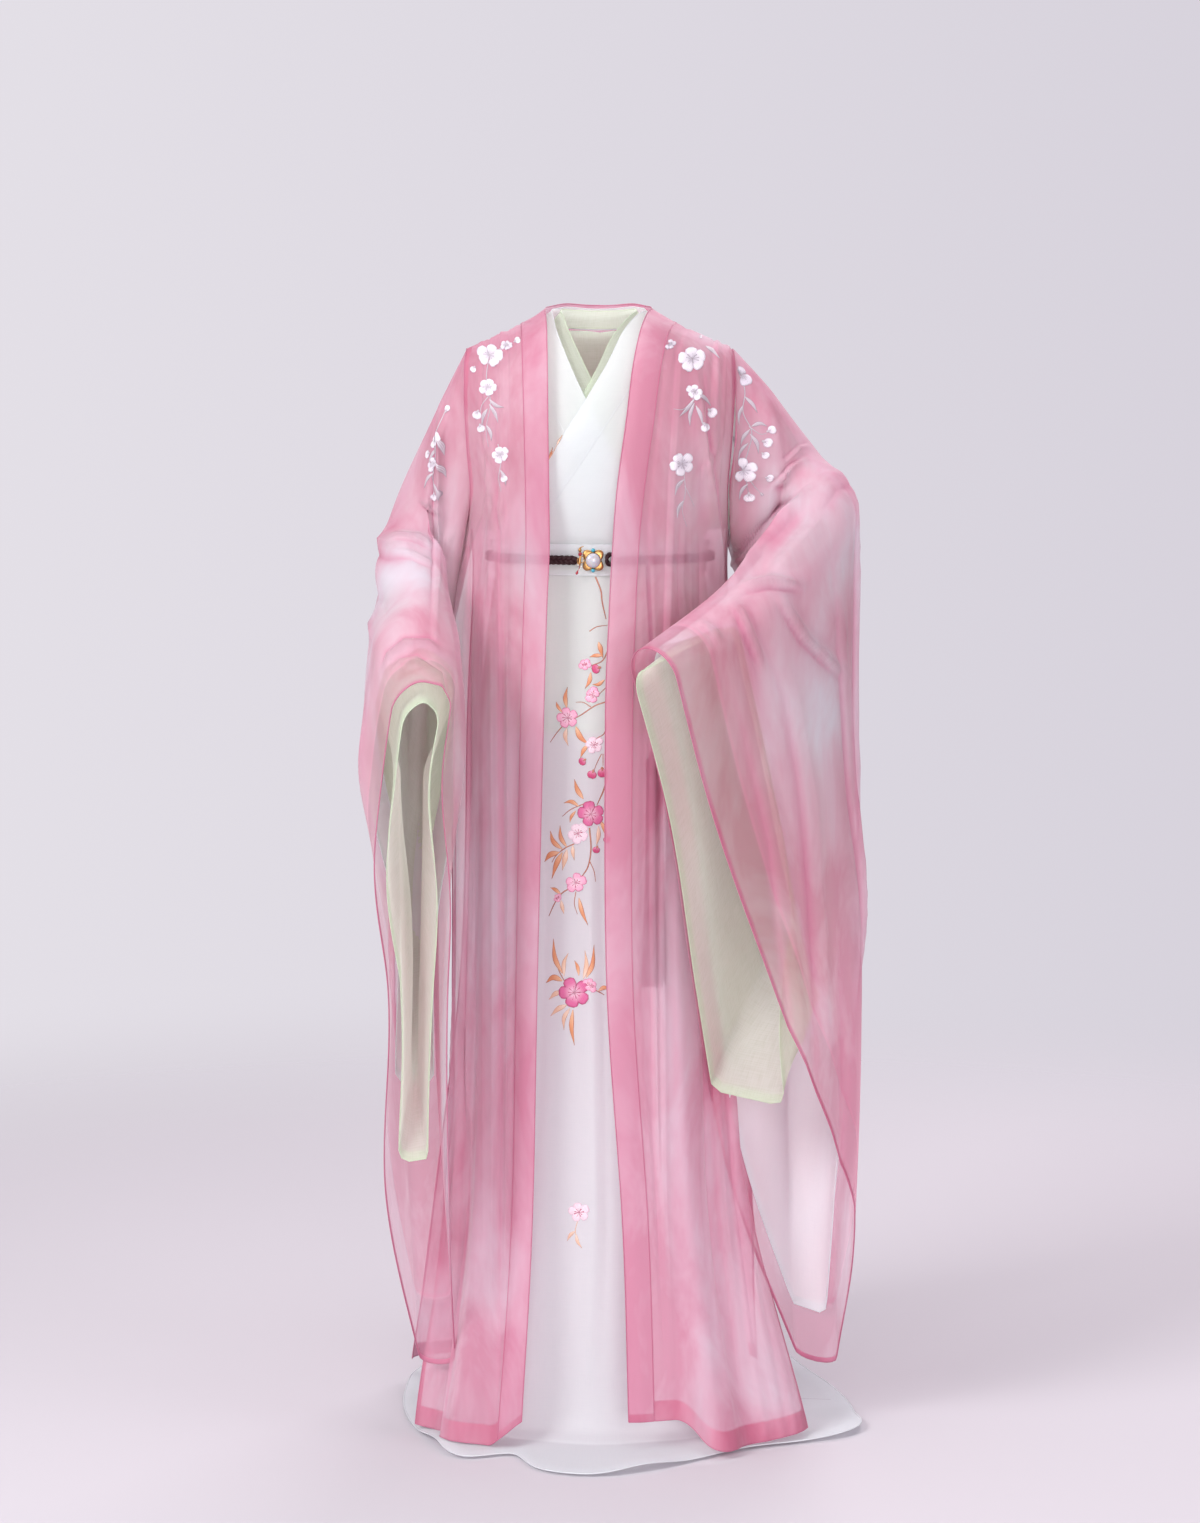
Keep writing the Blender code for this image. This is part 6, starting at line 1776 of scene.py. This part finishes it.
# %% Blossom sprays down the white skirt
sew(
    "skirt_spray", ("skirt_front", "waist_band"), "front", "robe_white",
    stems={
        "twig": (
            (1.1, (-6, 1156), (1, 1138), (3, 1122), (8, 1100)), (0.7, (-14, 1084), (-4, 1090), (10, 1092)),
            (0.8, (12, 1064), (4, 1046), (-8, 1040), (-16, 1038)), (0.6, (10, 1012), (2, 1004), (-6, 996)),
            (0.9, (12, 992), (-6, 986), (-24, 974), (-34, 968)), (0.6, (-12, 984), (-22, 990), (-32, 990)),
            (0.7, (-48, 960), (-58, 948), (-66, 936)), (0.7, (10, 968), (6, 950), (-2, 944), (-10, 940)),
            (0.6, (2, 922), (-4, 910), (-8, 900)), (0.6, (4, 922), (4, 906)),
            (1.1, (10, 892), (4, 872), (-4, 854)), (0.7, (-20, 856), (-38, 848), (-50, 838)),
            (1.1, (-14, 824), (-12, 796), (-16, 772), (-26, 756)),
            (0.8, (-34, 802), (-46, 796), (-58, 786), (-64, 776)), (0.6, (-14, 780), (-8, 766), (-6, 752)),
            (0.9, (-36, 744), (-50, 736), (-60, 722), (-68, 704)),
            (0.6, (-32, 738), (-34, 722), (-30, 708)), (0.7, (-44, 612), (-54, 630), (-60, 646)),
            (0.8, (-16, 612), (-4, 606), (6, 600)),
        ),
        "copper_faded": ((0.6, (-30, 296), (-33, 282), (-30, 268)),),
    },
    leaves={
        "copper": (
            (3.4, (-2, 1070), (1, 1060), (4, 1048)), (2.8, (4, 1052), (-6, 1052), (-14, 1050)),
            (3, (-12, 1030), (-14, 1018), (-20, 1008)), (2.6, (6, 1020), (-2, 1014), (-10, 1014)),
            (3.2, (-44, 982), (-46, 996), (-43, 1010)), (2.2, (-50, 976), (-56, 984), (-58, 990)),
            (4, (-32, 958), (-26, 944), (-14, 934)), (3, (-16, 934), (-22, 926), (-26, 916)),
            (3.6, (-22, 862), (-30, 874), (-34, 888)), (3, (-28, 852), (-38, 858), (-48, 856)),
            (2.2, (-32, 846), (-38, 838), (-40, 830)), (3.2, (-44, 797), (-52, 810), (-53, 826)),
            (3.6, (-50, 794), (-62, 804), (-66, 818)), (4, (-54, 790), (-66, 786), (-74, 776)),
            (3.8, (-50, 790), (-58, 774), (-64, 754)), (3, (0, 834), (6, 822), (8, 810)),
            (2.8, (-52, 734), (-60, 740), (-66, 742)), (3.2, (-28, 730), (-24, 712), (-16, 694)),
            (3.6, (-50, 628), (-60, 648), (-62, 674)), (4.2, (-50, 618), (-62, 622), (-72, 614)),
            (3.4, (-18, 624), (-10, 642), (-8, 668)), (2.6, (-28, 626), (-30, 638), (-34, 646)),
            (3.4, (-36, 580), (-38, 556), (-34, 532)), (3.2, (-2, 606), (6, 610), (14, 606)),
        ),
        "copper_faded": (
            (3, (-44, 956), (-46, 944), (-42, 932)), (3.8, (-44, 794), (-47, 780), (-50, 766)),
            (2.8, (-36, 800), (-36, 790), (-34, 780)), (3, (-2, 826), (-2, 812), (-5, 800)),
            (2.8, (-52, 726), (-50, 716), (-48, 708)), (3, (-48, 624), (-48, 642), (-42, 656)),
            (3.4, (-50, 604), (-60, 600), (-68, 592)), (3.4, (-22, 622), (-18, 640), (-20, 660)),
            (3.6, (-44, 586), (-56, 580), (-66, 570)), (3, (-40, 582), (-48, 568), (-48, 552)),
            (2.4, (-33, 282), (-40, 276), (-44, 268)), (2.4, (-32, 278), (-30, 268), (-24, 260)),
        ),
    },
    blossoms={
        "pink": (
            (-20, 1040, 9, 40, 0.75, 0.3, 20), (-10, 1000, 12, 80, 0.72, 1.2, 20),
            (-43, 969, 15, 20, 0.92, 0.2, 20), (-32, 750, 14.5, 66, 0.85, 0.4, 20),
            (-56, 729, 6.5, 10, 0.7, 1, 20), (-13, 614, 10.5, 60, 0.72, -0.8, 20),
        ),
        "faded": (
            (-8, 934, 12.5, 10, 0.9, 0.4, 20), (-29, 816, 15, 0, 0.85, 0.8, 20),
            (-28, 308, 14.5, 18, 0.9, 0.2, 20),
        ),
        "magenta": ((-12, 842, 19, 54, 0.9, -0.4, 20), (-34, 603, 21.5, 30, 0.94, 0.2, 20)),
    },
    buds={
        "red_bud": (
            (-1, 1036, 200, 10), (-9, 899, 250, 10), (3, 902, 275, 11), (-20, 914, 215, 8.5),
            (8, 812, 290, 8), (-4, 798, 255, 8),
        ),
    },
)

# %% A copper sprig on the lapel that the left front crosses
sew(
    "lapel_sprig",
    ("robe_half_right", "robe_band_right", "robe_half_left", "robe_band_left"),
    "front", "robe_white",
    stems={
        "copper_faded": ((0.6, (-70, 1306), (-62, 1318), (-56, 1330), (-50, 1340)),),
    },
    leaves={
        "copper": ((1.6, (-70, 1308), (-64, 1318), (-62, 1326)),),
        "copper_faded": ((1.4, (-57, 1328), (-53, 1336), (-49, 1342)),),
    },
)

# %% [markdown]
# ## What each piece was cut to
#
# A cloth keeps its area when it is hung or folded, so each sheet's cut is stated: its width and length when
# it lay flat, and its area where the cut isn't a rectangle. A sleeve is given as cut all round, at its
# widest by its longest. The bands are folded double when they are sewn on, and the width is that of the
# folded band.

# %% [markdown]
# ## Floor and light
#
# A pale floor that fades into a pale room, as a studio's curved paper backdrop does. The fade is a number
# on the floor's own points, its distance from the robe. Big soft lights from both sides and above leave
# hardly a shadow.

# %% Floor
floor_mesh = bpy.data.meshes.new("floor")
shape = bmesh.new()
bmesh.ops.create_circle(shape, cap_ends=True, radius=5.0, segments=96)
shape.to_mesh(floor_mesh)
shape.free()
floor = bpy.data.objects.new("floor", floor_mesh)
floor.location = (0, 0, -NECK_HEIGHT)
scene.collection.objects.link(floor)
paper, tree = new_finish("studio paper")
place = add(tree, "TexCoord")
distance = add(tree, "VectorMath", {"operation": "LENGTH"}, {0: place.outputs["Object"]})
fade = add(
    tree, "MapRange", {"From Min": 1.1, "From Max": 3.4, "interpolation_type": "SMOOTHERSTEP"},
    {"Value": distance.outputs["Value"]},
)
grain = add(tree, "TexNoise", {"Scale": 300.0}, {"Vector": place.outputs["Object"]})
fibre = add(tree, "Bump", {"Strength": 0.05, "Distance": 0.0005}, {"Height": grain.outputs["Fac"]})
matt = add(tree, "BsdfPrincipled", {"Base Color": "#C4BFC5", "Roughness": 0.8}, {"Normal": fibre.outputs[0]})
clear = add(tree, "BsdfTransparent")
blend = add(tree, "MixShader", {}, {0: fade.outputs[0], 1: matt.outputs[0], 2: clear.outputs[0]})
add(tree, "OutputMaterial", {}, {"Surface": blend.outputs[0]})
floor_mesh.materials.append(paper)

# %% Room and lights
ROOM_LIGHT = 0.60  # the room lights the robe less than its pale walls show, so the folds keep their shade
world = bpy.data.worlds.new("room")
world.use_nodes = True
tree = world.node_tree
around = add(tree, "TexCoord")
east = add(tree, "SeparateXYZ", {}, {0: around.outputs["Generated"]})
turn = add(tree, "MapRange", {"From Min": -0.22, "From Max": 0.22}, {"Value": east.outputs["X"]})
# painted light: the walls are painted lighter on the left and darker on the right, a painted falloff of light
# from the left
walls = add(tree, "Mix", {"data_type": "RGBA", 6: "#E5E1E8", 7: "#D6D1DB"}, {0: turn.outputs[0]})
tree.links.new(walls.outputs[2], tree.nodes["Background"].inputs["Color"])
seen = add(tree, "LightPath")
strength = add(
    tree, "MapRange", {"To Min": ROOM_LIGHT, "To Max": 1.0}, {"Value": seen.outputs["Is Camera Ray"]}
)
tree.links.new(strength.outputs[0], tree.nodes["Background"].inputs["Strength"])
scene.world = world
LIGHTS = (  # name, place, size in metres, power in watts, colour
    ("softbox_left", (-3.0, -2.8, 1.7), 1.8, 175.0, "#FFFFFF"),
    ("softbox_right", (3.4, -1.8, 0.9), 2.2, 34.0, "#FBF8FF"),
    ("softbox_front", (0.6, -5.2, -0.3), 2.6, 142.0, "#FFFFFF"),
    ("ceiling", (0.0, -0.4, 2.6), 2.2, 40.0, "#FFFFFF"),
    ("behind", (1.4, 3.0, 1.4), 2.0, 75.0, "#FFF6FA"),
)
for name, place, size, power, colour in LIGHTS:
    lamp = bpy.data.lights.new(name, "AREA")
    lamp.size, lamp.energy, lamp.color = size, power, linear(colour)[:3]
    holder = bpy.data.objects.new(name, lamp)
    holder.location = place
    holder.rotation_euler = (Vector((0, 0, -0.7)) - Vector(place)).to_track_quat("-Z", "Y").to_euler()
    scene.collection.objects.link(holder)
scene.view_settings.view_transform = "Standard"
print("lights:", len(LIGHTS))
